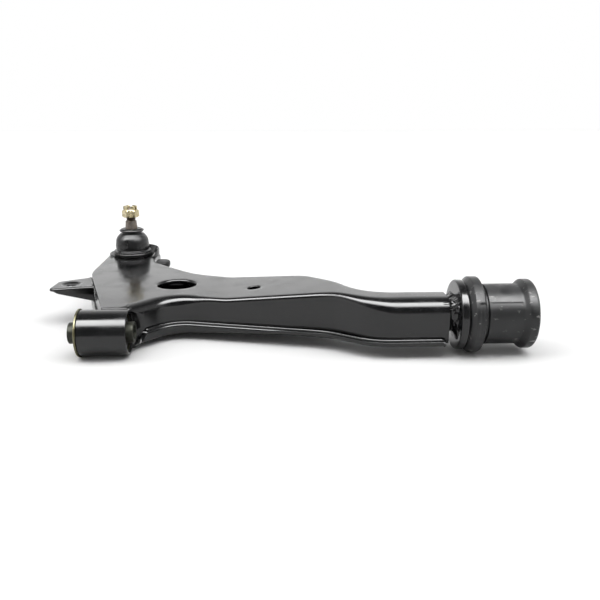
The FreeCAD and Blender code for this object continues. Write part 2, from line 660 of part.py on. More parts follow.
def raise_block(doc, name, source, low, high):
    """A solid between two heights over a plan outline."""
    block = doc.addObject("Part::Extrusion", name)
    block.Base = source
    block.DirMode = "Custom"
    block.Dir = FreeCAD.Vector(0, 0, 1)
    block.Solid = True
    block.setExpression("LengthFwd", sized(high))
    block.setExpression("LengthRev", sized("-(%s)" % low))
    doc.recompute()
    return block


def side_block(doc, name, corners):
    """A solid over a side profile in XZ, right across the arm."""
    sketch = plain_sketch(doc, name + "_profile", upright=True)
    draw_outline(sketch, corners)
    block = doc.addObject("Part::Extrusion", name)
    block.Base = sketch
    block.DirMode = "Custom"
    block.Dir = FreeCAD.Vector(0, 1, 0)
    block.Solid = True
    block.setExpression("LengthFwd", sized("end_y + far_margin"))
    block.setExpression("LengthRev", sized("leg_half + far_margin"))
    doc.recompute()
    return block


def top_profile(drop):
    """Side profile below the arm's top, lowered by an expression."""
    return [
        (FAR_LEFT, FAR_DOWN, None), (FAR_RIGHT, FAR_DOWN, None),
        (FAR_RIGHT, "top_leg - (%s)" % drop, None),
        ("leg_start", "top_leg - (%s)" % drop, "crown_radius"),
        ("crown_peak", "top_crown - (%s)" % drop, "crown_radius"),
        ("crown_start", "top_front - (%s)" % drop, "crown_radius"),
        (FAR_LEFT, "top_front - (%s)" % drop, None)]


def underside_profile(rise):
    """Side profile above the arm's underside, raised by an expression."""
    return [
        (FAR_LEFT, "tray_front + (%s)" % rise, None),
        ("tray_rise_start", "tray_front + (%s)" % rise, "crown_radius"),
        ("tray_rise_end", "tray_leg + (%s)" % rise, "crown_radius"),
        (FAR_RIGHT, "tray_leg + (%s)" % rise, None),
        (FAR_RIGHT, FAR_UP, None), (FAR_LEFT, FAR_UP, None)]


def boolean(doc, kind, name, base, tool):
    result = doc.addObject("Part::" + kind, name)
    result.Base = base
    result.Tool = tool
    doc.recompute()
    return result


def fuse_all(doc, name, shapes):
    result = doc.addObject("Part::MultiFuse", name)
    result.Shapes = shapes
    doc.recompute()
    return result


def upright_cylinder(doc, name, x, y, radius, low, high):
    cylinder = doc.addObject("Part::Cylinder", name)
    cylinder.setExpression("Radius", sized(radius))
    cylinder.setExpression("Height", sized("(%s) - (%s)" % (high, low)))
    cylinder.setExpression("Placement.Base.x", sized(x))
    cylinder.setExpression("Placement.Base.y", sized(y))
    cylinder.setExpression("Placement.Base.z", sized(low))
    return cylinder


def tube_space(doc, name):
    """The room that the eye tube takes, with the bolt's way past its right end."""
    cylinder = doc.addObject("Part::Cylinder", name)
    cylinder.setExpression("Radius", sized("tube_radius"))
    cylinder.setExpression("Height", sized("tube_right + bolt_way - (%s)" % FAR_LEFT))
    turn = FreeCAD.Rotation(FreeCAD.Vector(0, 1, 0), 90)
    cylinder.Placement = FreeCAD.Placement(FreeCAD.Vector(0, 0, 0), turn)
    cylinder.setExpression("Placement.Base.x", sized(FAR_LEFT))
    return cylinder


def rounded(doc, name, base, radius, chosen):
    """A Part fillet on the edges that a test picks."""
    value = size_of(doc, radius)
    fillet = doc.addObject("Part::Fillet", name)
    fillet.Base = base
    fillet.Edges = [(index + 1, value, value)
                    for index, edge in enumerate(base.Shape.Edges) if chosen(edge)]
    doc.recompute()
    return fillet


def edge_along_top(doc, drop):
    """A test for the edges between the top and the walls, without the leg's open end."""
    floor = size_of(doc, "top_front - (%s)" % drop) - EDGE_SLACK
    end = size_of(doc, "leg_end")

    def chosen(edge):
        box = edge.BoundBox
        return box.ZMin > floor and box.XMin < end - EDGE_SLACK

    return chosen


def shell_block(doc, name, outline, profile, low, high):
    """The plan outline's block, cut to a side profile."""
    block = raise_block(doc, name + "_block", outline, low, high)
    return boolean(doc, "Common", name, block, profile)


def lip_ring(doc):
    """The raised lip behind the ball joint, with a ramp at each end."""
    outer = upright_cylinder(doc, "lip_outside", "ball_x + lip_shift", "ball_y", "lip_outer",
                             "top_front - lip_sink", "lip_top")
    inner = upright_cylinder(doc, "lip_inside", "ball_x + lip_shift", "ball_y", "lip_inner",
                             "top_front - margin", "lip_top + margin")
    ring = boolean(doc, "Cut", "lip_ring", outer, inner)
    sketch = plain_sketch(doc, "lip_ramp_profile", across=True)
    draw_polygon(sketch, [
        ("lip_ramp_start", "top_front - lip_sink"),
        ("ball_y + far_margin", "top_front - lip_sink"),
        ("ball_y + far_margin", "lip_top + margin"), ("lip_ramp_end", "lip_top + margin"),
        ("lip_ramp_end", "lip_top"), ("lip_ramp_start", "top_front")])
    ramp = doc.addObject("Part::Extrusion", "lip_ramp")
    ramp.Base = sketch
    ramp.DirMode = "Custom"
    ramp.Dir = FreeCAD.Vector(1, 0, 0)
    ramp.Solid = True
    ramp.setExpression("LengthFwd", sized("end_right_x + far_margin"))
    ramp.setExpression("LengthRev", sized("far_margin - left_side_x"))
    doc.recompute()
    return boolean(doc, "Common", "lip", ring, ramp)


def upper_shell(doc, plan):
    """Deep pressed half: flat top, rounded shoulders and a skirt that stands in the tray."""
    outside = shell_block(doc, "upper_outside", plan,
                          side_block(doc, "upper_top", top_profile("0")),
                          "skirt_end", "top_crown + margin")
    outside = rounded(doc, "upper_shoulders", outside, "shoulder", edge_along_top(doc, "0"))
    inset = offset_outline(doc, "upper_inset", plan, "-wall")
    inside = shell_block(doc, "upper_inside", inset,
                         side_block(doc, "upper_ceiling", top_profile("wall")),
                         "skirt_end - margin", "top_crown + margin")
    inside = rounded(doc, "upper_inner_shoulders", inside, "shoulder - wall",
                     edge_along_top(doc, "wall"))
    hollow = boolean(doc, "Cut", "upper_hollow", outside, inside)
    raised = fuse_all(doc, "upper_with_lip", [hollow, lip_ring(doc)])
    holes = fuse_all(doc, "upper_holes", [
        tube_space(doc, "upper_tube_space"),
        upright_cylinder(doc, "big_hole", "big_hole_x", "big_hole_y", "big_hole_radius",
                         "top_front - 2 * margin", "top_front + 2 * margin"),
        upright_cylinder(doc, "small_hole", "small_hole_x", "small_hole_y",
                         "small_hole_radius", "top_front - 2 * margin", "top_crown + margin"),
        upright_cylinder(doc, "cup_hole", "ball_x", "ball_y", "cup_neck_radius",
                         "top_front - 2 * margin", "top_front + 2 * margin"),
        leg_mouth(doc, "upper_leg_mouth", "leg_half - wall", "skirt_end - margin",
                  "top_leg - wall")])
    return boolean(doc, "Cut", "upper_shell", raised, holes)


def leg_mouth(doc, name, half, low, high):
    """Opens the rear leg's end between its walls."""
    box = doc.addObject("Part::Box", name)
    box.setExpression("Length", sized("wall + 2 * margin"))
    box.setExpression("Width", sized("2 * (%s)" % half))
    box.setExpression("Height", sized("(%s) - (%s)" % (high, low)))
    box.setExpression("Placement.Base.x", sized("leg_end - wall - margin"))
    box.setExpression("Placement.Base.y", sized("-(%s)" % half))
    box.setExpression("Placement.Base.z", sized(low))
    return box


def beyond_leg(doc, name):
    """The room past the rear leg's end, which the tray and its weld stop short of."""
    box = doc.addObject("Part::Box", name)
    box.setExpression("Length", sized("far_margin"))
    box.setExpression("Width", sized("4 * leg_half"))
    box.setExpression("Height", sized("2 * far_margin"))
    box.setExpression("Placement.Base.x", sized("leg_end - wall"))
    box.setExpression("Placement.Base.y", sized("-2 * leg_half"))
    box.setExpression("Placement.Base.z", sized("-far_margin"))
    return box


def lower_shell(doc, plan):
    """Shallow tray outside the upper shell's skirt."""
    rim = offset_outline(doc, "tray_rim_outline", plan, "wall + seam_gap")
    hollow = offset_outline(doc, "tray_hollow_outline", plan, "seam_gap")
    outside = shell_block(doc, "tray_outside", rim,
                          side_block(doc, "tray_underside", underside_profile("0")),
                          "tray_front - margin", "tray_rim")
    inside = shell_block(doc, "tray_inside", hollow,
                         side_block(doc, "tray_floor", underside_profile("wall")),
                         "tray_front - margin", "tray_rim + margin")
    tray = boolean(doc, "Cut", "tray", outside, inside)
    holes = fuse_all(doc, "tray_holes", [
        tube_space(doc, "tray_tube_space"), beyond_leg(doc, "tray_beyond_leg"),
        upright_cylinder(doc, "tray_cup_hole", "ball_x", "ball_y", "cup_radius",
                         "tray_front - 2 * margin", "tray_rim + 2 * margin"),
        upright_cylinder(doc, "drain_hole", "small_hole_x", "small_hole_y",
                         "drain_hole_radius", "tray_front - 2 * margin", "tray_rim + 2 * margin")])
    return boolean(doc, "Cut", "lower_shell", tray, holes)


def seam_weld(doc, plan):
    """Fillet weld in the corner between the skirt and the tray's rim."""
    rim = offset_outline(doc, "weld_outline", plan, "weld_size + seam_gap")
    block = raise_block(doc, "weld_block", rim, "tray_rim", "tray_rim + weld_size")
    slope = doc.addObject("Part::Chamfer", "weld_slope")
    slope.Base = block
    size = size_of(doc, "weld_bevel")
    top = size_of(doc, "tray_rim + weld_size - seam_gap")
    slope.Edges = [(index + 1, size, size)
                   for index, edge in enumerate(block.Shape.Edges) if edge.BoundBox.ZMin > top]
    doc.recompute()
    skirt = raise_block(doc, "weld_skirt", plan, "tray_rim - margin",
                        "tray_rim + weld_size + margin")
    ring = boolean(doc, "Cut", "weld_ring", slope, skirt)
    holes = fuse_all(doc, "weld_gaps", [
        tube_space(doc, "weld_tube_space"), beyond_leg(doc, "weld_beyond_leg")])
    return boolean(doc, "Cut", "seam_weld", ring, holes)


# ---------------------------------------------------------------- leg end, tab and welds

def leg_end_plate(doc):
    """Plate inside the leg's end, bored for the spindle."""
    body = make_body(doc, "leg_end_plate")
    sketch = sketch_on(body, "YZ_Plane", "end_plate_outline", height="leg_end - end_plate - end_plate_inset")
    half = "leg_half - wall - seam_gap"
    low = "tray_leg + wall + seam_gap"
    high = "top_leg - wall - seam_gap"
    draw_outline(sketch, [
        ("-(%s)" % half, low, "end_plate_corner"), (half, low, "end_plate_corner"),
        (half, high, "end_plate_corner"), ("-(%s)" % half, high, "end_plate_corner")])
    draw_circle(sketch, "0", "rear_axis_z", "spindle_radius")
    pad(body, sketch, "end_plate")
    return body


def spindle_weld(doc):
    """Weld all round between the leg's end and the collar."""
    body = make_body(doc, "spindle_weld")
    sketch = sketch_on(body, "YZ_Plane", "spindle_weld_outline", height="leg_end")
    for inset, bend in (("-weld_proud", "shoulder"), ("wall", "wall")):
        half = "leg_half - (%s)" % inset
        low = "skirt_end + (%s)" % inset
        high = "top_leg - (%s)" % inset
        draw_outline(sketch, [
            ("-(%s)" % half, low, bend), (half, low, bend),
            (half, high, bend), ("-(%s)" % half, high, bend)])
    pad(body, sketch, "collar_start - leg_end")
    return body


def tab_edge_y(x, edge):
    """Y of the tab's inner or outer edge at an X, both as expressions."""
    tip = "tab_tip_far_x" if edge == "far" else "tab_tip_x"
    return "tab_tip_{0}_y + ({1} - {2}) * (tab_root_{0}_y - tab_tip_{0}_y) / (tab_root_{0}_x - {2})".format(
        edge, x, tip)


def stabiliser_bracket(doc):
    """Tapered tab with a dished hole and a rib down each long side."""
    body = make_body(doc, "stabiliser_bracket")
    plate = sketch_on(body, "XY_Plane", "tab_outline", height="tab_top - tab_plate")
    draw_outline(plate, [
        ("tab_root_near_x", "tab_root_near_y", None),
        ("tab_root_far_x", "tab_root_far_y", None),
        ("tab_tip_far_x", "tab_tip_far_y", "tab_corner"),
        ("tab_tip_x", "tab_tip_near_y", "tab_corner")])
    pad(body, plate, "tab_plate")
    ribs = sketch_on(body, "XY_Plane", "tab_ribs", height="tab_top - tab_plate")
    near_root = "tab_root_near_x - weld_gap"
    far_root = "tab_root_far_x - weld_gap"
    near = [(x, tab_edge_y(x, "near")) for x in ("tab_rib_tip_x", near_root)]
    far = [(x, tab_edge_y(x, "far")) for x in ("tab_rib_tip_x", far_root)]
    draw_polygon(ribs, [
        near[0], near[1], (near[1][0], near[1][1] + " + tab_plate"),
        (near[0][0], near[0][1] + " + tab_plate")])
    pad(body, ribs, "tab_rib_depth", reverse=True)
    far_ribs = sketch_on(body, "XY_Plane", "tab_far_ribs", height="tab_top - tab_plate")
    draw_polygon(far_ribs, [
        far[0], (far[0][0], far[0][1] + " - tab_plate"),
        (far[1][0], far[1][1] + " - tab_plate"), far[1]])
    pad(body, far_ribs, "tab_rib_depth", reverse=True)
    taper = sketch_on(body, "XZ_Plane", "tab_rib_taper")
    draw_polygon(taper, [
        ("tab_rib_tip_x - tab_taper_reach", "tab_top - tab_plate"),
        ("tab_root_near_x + tab_taper_reach", "tab_top - tab_plate - tab_rib_depth"),
        ("tab_root_near_x + tab_taper_reach", "tab_top - tab_plate - tab_rib_depth - margin"),
        ("tab_rib_tip_x - tab_taper_reach", "tab_top - tab_plate - tab_rib_depth - margin")])
    pocket(body, taper, "tab_root_far_y * 2", midplane=True)
    dish = sketch_on(body, "XY_Plane", "tab_dish", height="tab_top")
    draw_circle(dish, "tab_hole_x", "tab_hole_y", "tab_dish_radius")
    pocket(body, dish, "tab_dish_depth")
    hole = sketch_on(body, "XY_Plane", "tab_hole", height="tab_top")
    draw_circle(hole, "tab_hole_x", "tab_hole_y", "tab_hole_radius")
    pocket(body, hole, "tab_plate + margin")
    return body


def bracket_weld(doc):
    """Bead on the tab's top face, along the shell's wall."""
    body = make_body(doc, "bracket_weld")
    sketch = sketch_on(body, "XY_Plane", "bracket_bead", height="tab_top")
    draw_polygon(sketch, [
        ("tab_root_near_x - weld_gap", "tab_root_near_y + bead_end"),
        ("tab_root_far_x - weld_gap", "tab_root_far_y - bead_end"),
        ("tab_root_far_x - bead", "tab_root_far_y - bead_end"),
        ("tab_root_near_x - bead", "tab_root_near_y + bead_end")])
    pad(body, sketch, "bead_height")
    return body


def tube_weld(doc, shell):
    """Bead between the eye tube and the edge of the shell that lies on it."""
    bead = doc.addObject("Part::Cylinder", "tube_bead")
    bead.setExpression("Radius", sized("bead"))
    bead.setExpression("Height", sized("throat_x - left_root_x - wall"))
    turn = FreeCAD.Rotation(FreeCAD.Vector(0, 1, 0), 90)
    bead.Placement = FreeCAD.Placement(FreeCAD.Vector(0, 0, 0), turn)
    bead.setExpression("Placement.Base.x", sized("left_root_x"))
    bead.setExpression("Placement.Base.y", sized("tube_edge_y + weld_gap"))
    bead.setExpression("Placement.Base.z", sized("tube_radius - bead_drop"))
    doc.recompute()
    clear_of_tube = boolean(doc, "Cut", "tube_bead_on_tube", bead, tube_space(doc, "bead_space"))
    return boolean(doc, "Cut", "tube_weld", clear_of_tube, shell)


def steering_stop(doc):
    """Rounded lug on the outer edge beside the ball joint."""
    body = make_body(doc, "steering_stop")
    sketch = sketch_on(body, "XY_Plane", "stop_outline", height="stop_top - stop_height")
    draw_outline(sketch, [
        ("stop_x", "stop_y - stop_half", None),
        ("stop_x + stop_reach", "stop_y - stop_half", "stop_round"),
        ("stop_x + stop_reach", "stop_y + stop_half", "stop_round"),
        ("stop_x", "stop_y + stop_half", None)])
    pad(body, sketch, "stop_height")
    return body


# ---------------------------------------------------------------- build

def main():
    doc = FreeCAD.newDocument("control_arm")
    make_sheet(doc)
    plan = plain_sketch(doc, "plan_outline")
    draw_outline(plan, PLAN)
    doc.recompute()
    pieces = []
    pieces += front_bush(doc)
    pieces += rear_bush(doc)
    pieces += ball_joint(doc)
    pieces.append(make_boot(doc))
    pieces.append(clip_ring(doc, "boot_lower_ring", "boot_base_radius", "lower_ring_z"))
    pieces.append(clip_ring(doc, "boot_upper_ring", "boot_lip_radius", "upper_ring_z"))
    pieces.append(castle_nut(doc))
    pieces.append(leg_end_plate(doc))
    pieces.append(spindle_weld(doc))
    pieces.append(stabiliser_bracket(doc))
    pieces.append(bracket_weld(doc))
    pieces.append(steering_stop(doc))
    upper = upper_shell(doc, plan)
    pieces.append(upper)
    pieces.append(tube_weld(doc, upper))
    pieces.append(lower_shell(doc, plan))
    pieces.append(seam_weld(doc, plan))
    check_and_write(doc, pieces)


def check_and_write(doc, pieces):
    """Refuse a failed object or a bad shape, then write one STEP file for each piece."""
    doc.recompute()
    for item in doc.Objects:
        for word in ("Invalid", "Error"):
            if word in item.State:
                raise RuntimeError("%s is %s" % (item.Name, word))
    os.makedirs("parts", exist_ok=True)
    for piece in pieces:
        shape = piece.Shape
        if shape.isNull() or not shape.isValid():
            raise RuntimeError(piece.Label + " has a bad shape")
        print("%-20s solids %d volume %.0f" % (piece.Label, len(shape.Solids), shape.Volume))
        shape.exportStep("parts/%s.step" % piece.Label)


main()
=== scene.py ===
"""Front lower control arm: finished surfaces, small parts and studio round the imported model."""

import math

import bmesh
import bpy
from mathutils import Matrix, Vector, noise
from mathutils.geometry import delaunay_2d_cdt


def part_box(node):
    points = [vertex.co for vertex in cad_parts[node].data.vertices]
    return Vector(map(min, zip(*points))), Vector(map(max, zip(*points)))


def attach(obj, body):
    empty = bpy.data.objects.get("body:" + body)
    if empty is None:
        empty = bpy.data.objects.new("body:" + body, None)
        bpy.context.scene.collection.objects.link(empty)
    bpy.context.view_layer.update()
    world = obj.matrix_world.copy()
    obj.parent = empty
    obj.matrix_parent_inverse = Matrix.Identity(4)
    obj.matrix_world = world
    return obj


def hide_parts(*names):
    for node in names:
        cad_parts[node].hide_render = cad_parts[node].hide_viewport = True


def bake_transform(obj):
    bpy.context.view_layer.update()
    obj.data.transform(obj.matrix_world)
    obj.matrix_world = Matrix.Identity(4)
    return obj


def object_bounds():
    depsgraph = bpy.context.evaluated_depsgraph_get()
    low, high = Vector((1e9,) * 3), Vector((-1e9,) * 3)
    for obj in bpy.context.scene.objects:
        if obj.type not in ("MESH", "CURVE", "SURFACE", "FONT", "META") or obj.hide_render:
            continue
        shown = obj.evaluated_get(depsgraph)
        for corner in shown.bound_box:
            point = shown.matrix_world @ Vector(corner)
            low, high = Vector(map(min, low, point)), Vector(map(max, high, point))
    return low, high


bl_info = {
    "name": "Control Arm",
    "version": (1, 0, 0),
    "blender": (4, 5, 0),
    "location": "View3D > Sidebar > Control Arm",
    "description": "Builds a welded steel control arm with bushes, ball joint and studio",
    "category": "Add Mesh",
}

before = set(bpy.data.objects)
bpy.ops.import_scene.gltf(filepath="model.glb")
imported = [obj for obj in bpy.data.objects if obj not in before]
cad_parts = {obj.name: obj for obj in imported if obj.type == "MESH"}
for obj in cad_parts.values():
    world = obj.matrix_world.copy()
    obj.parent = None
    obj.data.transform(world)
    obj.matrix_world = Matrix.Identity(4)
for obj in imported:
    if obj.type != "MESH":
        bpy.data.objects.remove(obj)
CAD_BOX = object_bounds()
MM = 0.001


def half_height(node):
    """Half of a CAD node's height: the radius of a piece turned about a level axis."""
    low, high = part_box(node)
    return (high.z - low.z) / 2


def half_width(node):
    low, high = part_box(node)
    return (high.x - low.x) / 2


def middle(node):
    low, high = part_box(node)
    return (low + high) / 2


SHELL_LOW, SHELL_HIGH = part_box("upper_shell")
TRAY_LOW, TRAY_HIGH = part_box("lower_shell")
TUBE_LOW, TUBE_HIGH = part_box("front_bush_tube")
NUT_LOW, NUT_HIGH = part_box("castle_nut")
BOOT_LOW, BOOT_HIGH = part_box("dust_boot")
STUD_LOW, STUD_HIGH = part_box("ball_stud")
RUBBER_LOW, RUBBER_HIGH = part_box("rear_bush_rubber")
TUBE_RADIUS = half_height("front_bush_tube")
BALL_AXIS = middle("castle_nut").to_2d()
REAR_AXIS_Z = middle("rear_bush_rubber").z
WALL = 3.0 * MM
SEAM_GAP = 0.1 * MM
PLATE_Z = 22.0 * MM
LEG_TOP = 34.5 * MM
BOLT_WAY = 20.0 * MM
BIG_HOLE = (61 * MM, 103 * MM)
SMALL_HOLE = (147 * MM, 70 * MM)
BALL_CENTRE = (BALL_AXIS.x, BALL_AXIS.y, 0)


# ---------------------------------------------------------------- settings

class ArmSizes(bpy.types.PropertyGroup):
    shoulder_full: bpy.props.FloatProperty(
        name="Full shoulder", description="Radius of the shoulder beside the bushes",
        default=10.5 * MM, unit="LENGTH")
    shoulder_tight: bpy.props.FloatProperty(
        name="Tight shoulder", description="Radius of the shoulder along the middle of the arm",
        default=4.6 * MM, unit="LENGTH")
    shoulder_left: bpy.props.FloatProperty(
        name="Left edge", description="Radius of the pressed left edge",
        default=1.8 * MM, unit="LENGTH")
    shoulder_leg: bpy.props.FloatProperty(
        name="Leg shoulder", description="Radius of the rear leg's rounded top edges",
        default=15.0 * MM, unit="LENGTH")
    outline_step: bpy.props.FloatProperty(
        name="Outline step", description="Distance between points along the outline",
        default=2.5 * MM, unit="LENGTH")
    weld_size: bpy.props.FloatProperty(
        name="Weld size", description="Leg of the seam's weld bead",
        default=2.8 * MM, unit="LENGTH")
    weld_pitch: bpy.props.FloatProperty(
        name="Weld ripple", description="Distance between two ripples of a weld bead",
        default=3.4 * MM, unit="LENGTH")
    thread_pitch: bpy.props.FloatProperty(
        name="Thread pitch", description="Pitch of the stud's thread",
        default=1.25 * MM, unit="LENGTH")
    segments: bpy.props.IntProperty(
        name="Segments", description="Steps round a turned piece", default=128, min=24)


class ArmColours(bpy.types.PropertyGroup):
    paint: bpy.props.FloatVectorProperty(
        name="Paint", description="Gloss black paint", subtype="COLOR",
        default=(0.0042, 0.0044, 0.0047))
    rubber: bpy.props.FloatVectorProperty(
        name="Bush rubber", description="Rubber of the two bushes", subtype="COLOR",
        default=(0.0058, 0.0060, 0.0063))
    boot: bpy.props.FloatVectorProperty(
        name="Boot rubber", description="Rubber of the dust boot", subtype="COLOR",
        default=(0.0035, 0.0036, 0.0038))
    zinc: bpy.props.FloatVectorProperty(
        name="Yellow zinc", description="Yellow passivated plating", subtype="COLOR",
        default=(0.52, 0.46, 0.30))
    phosphate: bpy.props.FloatVectorProperty(
        name="Phosphated steel", description="Grey-green phosphated steel", subtype="COLOR",
        default=(0.030, 0.032, 0.026))


# ---------------------------------------------------------------- paths

def bend(before, corner, after, radius, turn_step=math.radians(5)):
    """Points of the arc that rounds a corner."""
    back = (before - corner).normalized()
    on = (after - corner).normalized()
    half = back.angle(on) / 2
    reach = radius / math.tan(half)
    centre = corner + (back + on).normalized() * (radius / math.sin(half))
    first = corner + back * reach - centre
    last = corner + on * reach - centre
    turn = math.atan2(first.cross(last), first.dot(last))
    steps = max(2, round(abs(turn) / turn_step))
    points = []
    for index in range(steps + 1):
        angle = turn * index / steps
        cos, sin = math.cos(angle), math.sin(angle)
        points.append(centre + Vector((first.x * cos - first.y * sin,
                                       first.x * sin + first.y * cos)))
    return points


def rounded_path(corners, closed=True, step=None):
    """A 2-D path through (x, y, radius) corners, with its long straights divided."""
    points = [Vector(corner[:2]) for corner in corners]
    count = len(points)
    path = []
    for index, corner in enumerate(corners):
        inner = closed or 0 < index < count - 1
        if corner[2] and inner:
            path += bend(points[index - 1], points[index], points[(index + 1) % count], corner[2])
        else:
            path.append(points[index])
    if step is None:
        return path
    divided = []
    for index, point in enumerate(path):
        if index == len(path) - 1 and not closed:
            divided.append(point)
            break
        following = path[(index + 1) % len(path)]
        parts = max(1, round((following - point).length / step))
        divided += [point.lerp(following, part / parts) for part in range(parts)]
    return divided


def outward_normals(outline):
    """Outward direction at each point of an open path that runs anticlockwise."""
    normals = []
    for before, after in zip([outline[0]] + outline, outline[1:] + [outline[-1]]):
        along = after - before
        normals.append(Vector((along.y, -along.x)).normalized())
    return normals


def height_along(profile, place):
    """Height of a side profile of (x, z) points at an x."""
    if place <= profile[0].x:
        return profile[0].y
    for start, end in zip(profile, profile[1:]):
        if place <= end.x:
            share = (place - start.x) / max(end.x - start.x, 1e-9)
            return start.y + (end.y - start.y) * share
    return profile[-1].y


def ease(value, low, high):
    """0 below low, 1 above high, smooth between them."""
    share = min(max((value - low) / (high - low), 0.0), 1.0)
    return share * share * (3 - 2 * share)


def quarter_turn(steps):
    """Shares of a rounded edge's radius, inwards and down, at even steps of a quarter turn."""
    angles = [math.pi / 2 * step / steps for step in range(steps + 1)]
    return [(1 - math.sin(angle), 1 - math.cos(angle)) for angle in angles]


def inside(point, outline):
    odd = False
    for index, end in enumerate(outline):
        start = outline[index - 1]
        if (start.y > point.y) != (end.y > point.y):
            cross = start.x + (point.y - start.y) * (end.x - start.x) / (end.y - start.y)
            if point.x < cross:
                odd = not odd
    return odd


# ---------------------------------------------------------------- mesh helpers

def add_ring(bm, points):
    return [bm.verts.new(point) for point in points]


def join_rings(bm, rings, wrap_rings=False, capped=False):
    """Quads between neighbouring closed rings of vertices, with the two ends capped if asked."""
    pairs = list(zip(rings, rings[1:]))
    if wrap_rings:
        pairs.append((rings[-1], rings[0]))
    for first, second in pairs:
        for index in range(len(first)):
            following = (index + 1) % len(first)
            corners = [first[index], first[following], second[following], second[index]]
            unique = list(dict.fromkeys(corners))
            if len(unique) > 2:
                bm.faces.new(unique)
    if capped:
        bm.faces.new(rings[0])
        bm.faces.new(rings[-1])


def fill_plate(bm, boundary, holes, height, spacing=5.0 * MM):
    """Fills the room between an outer ring and hole rings, over a grid of inner points."""
    rings = [boundary] + holes
    verts = [vert for ring in rings for vert in ring]
    flat = [vert.co.to_2d() for vert in verts]
    outlines = [[vert.co.to_2d() for vert in ring] for ring in rings]
    edges = []
    start = 0
    for ring in rings:
        count = len(ring)
        edges += [(start + index, start + (index + 1) % count) for index in range(count)]
        start += count
    low = Vector((min(p.x for p in outlines[0]), min(p.y for p in outlines[0])))
    high = Vector((max(p.x for p in outlines[0]), max(p.y for p in outlines[0])))
    margin = spacing * 0.45
    columns = int((high.x - low.x) / spacing) + 1
    rows = int((high.y - low.y) / spacing) + 1
    for column in range(columns):
        for row in range(rows):
            point = Vector((low.x + column * spacing, low.y + row * spacing))
            if not inside(point, outlines[0]):
                continue
            if any(inside(point, hole) for hole in outlines[1:]):
                continue
            if any((point - other).length < margin for other in flat[:start]):
                continue
            verts.append(bm.verts.new((point.x, point.y, height(point.x, point.y))))
            flat.append(point)
    result = delaunay_2d_cdt(flat, edges, [], 0, 1e-9)
    new_flat, triangles, origins = result[0], result[2], result[3]
    for index in range(len(new_flat)):
        if not origins[index]:
            raise RuntimeError("outline crosses itself near %s" % new_flat[index])
    for triangle in triangles:
        centre = sum((new_flat[corner] for corner in triangle), Vector((0, 0))) / 3
        if not inside(centre, outlines[0]):
            continue
        if any(inside(centre, hole) for hole in outlines[1:]):
            continue
        corners = [verts[origins[corner][0]] for corner in triangle]
        bm.faces.new(corners)


def turned(bm, profile, centre, along_x=True, segments=128, closed=True, radius_at=None):
    """A turned solid. The profile is (place along the axis, radius); its ends may lie on the axis."""
    rings = []
    for place, radius in profile:
        if radius < 1e-7:
            spot = (centre[0] + place, centre[1], centre[2]) if along_x else (
                centre[0], centre[1], centre[2] + place)
            rings.append([bm.verts.new(spot)] * segments)
            continue
        points = []
        for index in range(segments):
            angle = math.tau * index / segments
            size = radius_at(place, radius, angle) if radius_at else radius
            across, up = size * math.cos(angle), size * math.sin(angle)
            if along_x:
                points.append((centre[0] + place, centre[1] + across, centre[2] + up))
            else:
                points.append((centre[0] + across, centre[1] + up, centre[2] + place))
        rings.append(add_ring(bm, points))
    join_rings(bm, rings, wrap_rings=closed)


def finish_piece(name, bm, finish, body=None, nodes=(), sharp=40, faces_up=None, slot=None):
    """Turns a bmesh into a shaded object that rides on a body. An open sheet says which way it faces.

    The slot argument is not used.
    """
    slot = slot or finish
    bmesh.ops.recalc_face_normals(bm, faces=bm.faces)
    if faces_up is not None:
        upward = sum(face.normal.z * face.calc_area() for face in bm.faces) > 0
        if upward != faces_up:
            bmesh.ops.reverse_faces(bm, faces=bm.faces)
    mesh = bpy.data.meshes.new(name)
    bm.to_mesh(mesh)
    bm.free()
    mesh.shade_smooth()
    mesh.set_sharp_from_angle(angle=math.radians(sharp))
    mesh.materials.append(materials()[finish])
    piece = bpy.data.objects.new(name, mesh)
    bpy.context.scene.collection.objects.link(piece)
    if body:
        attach(piece, body)
    if nodes:
        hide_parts(*nodes)
    return piece


def thicken(piece, thickness):
    """Gives a pressed sheet its thickness, inwards."""
    modifier = piece.modifiers.new("thickness", "SOLIDIFY")
    modifier.thickness = thickness
    modifier.offset = -1


def weld_bead(bm, path, size, pitch, sides=12):
    """A bead along an open 3-D path, with overlapping ripples and an uneven width."""
    ripple_depth, ripple_crest = 0.15, 0.35
    unevenness, lumps_per_metre = 0.16, 260
    travelled = 0.0
    rings = []
    count = len(path)
    for index, point in enumerate(path):
        before = path[index - 1] if index else point
        after = path[index + 1] if index < count - 1 else point
        along = (after - before).normalized()
        side = along.cross(Vector((0, 0, 1)))
        side = side.normalized() if side.length > 0.1 else Vector((0, 1, 0))
        up = side.cross(along)
        if index:
            travelled += (point - path[index - 1]).length
        ripple = 1 - abs((travelled / pitch) % 1.0 - ripple_crest) * ripple_depth
        uneven = 1 + unevenness * noise.noise(point * lumps_per_metre)
        end = math.sqrt(min(1, (index + 0.2) / 3, (count - 0.8 - index) / 3))
        radius = size * ripple * uneven * end
        rings.append(add_ring(bm, [
            point + (side * math.cos(math.tau * step / sides)
                     + up * math.sin(math.tau * step / sides)) * radius
            for step in range(sides)]))
    join_rings(bm, rings, capped=True)


# ---------------------------------------------------------------- materials

def new_material(name):
    material = bpy.data.materials.new(name)
    material.use_nodes = True
    tree = material.node_tree
    return material, tree, tree.nodes["Principled BSDF"]


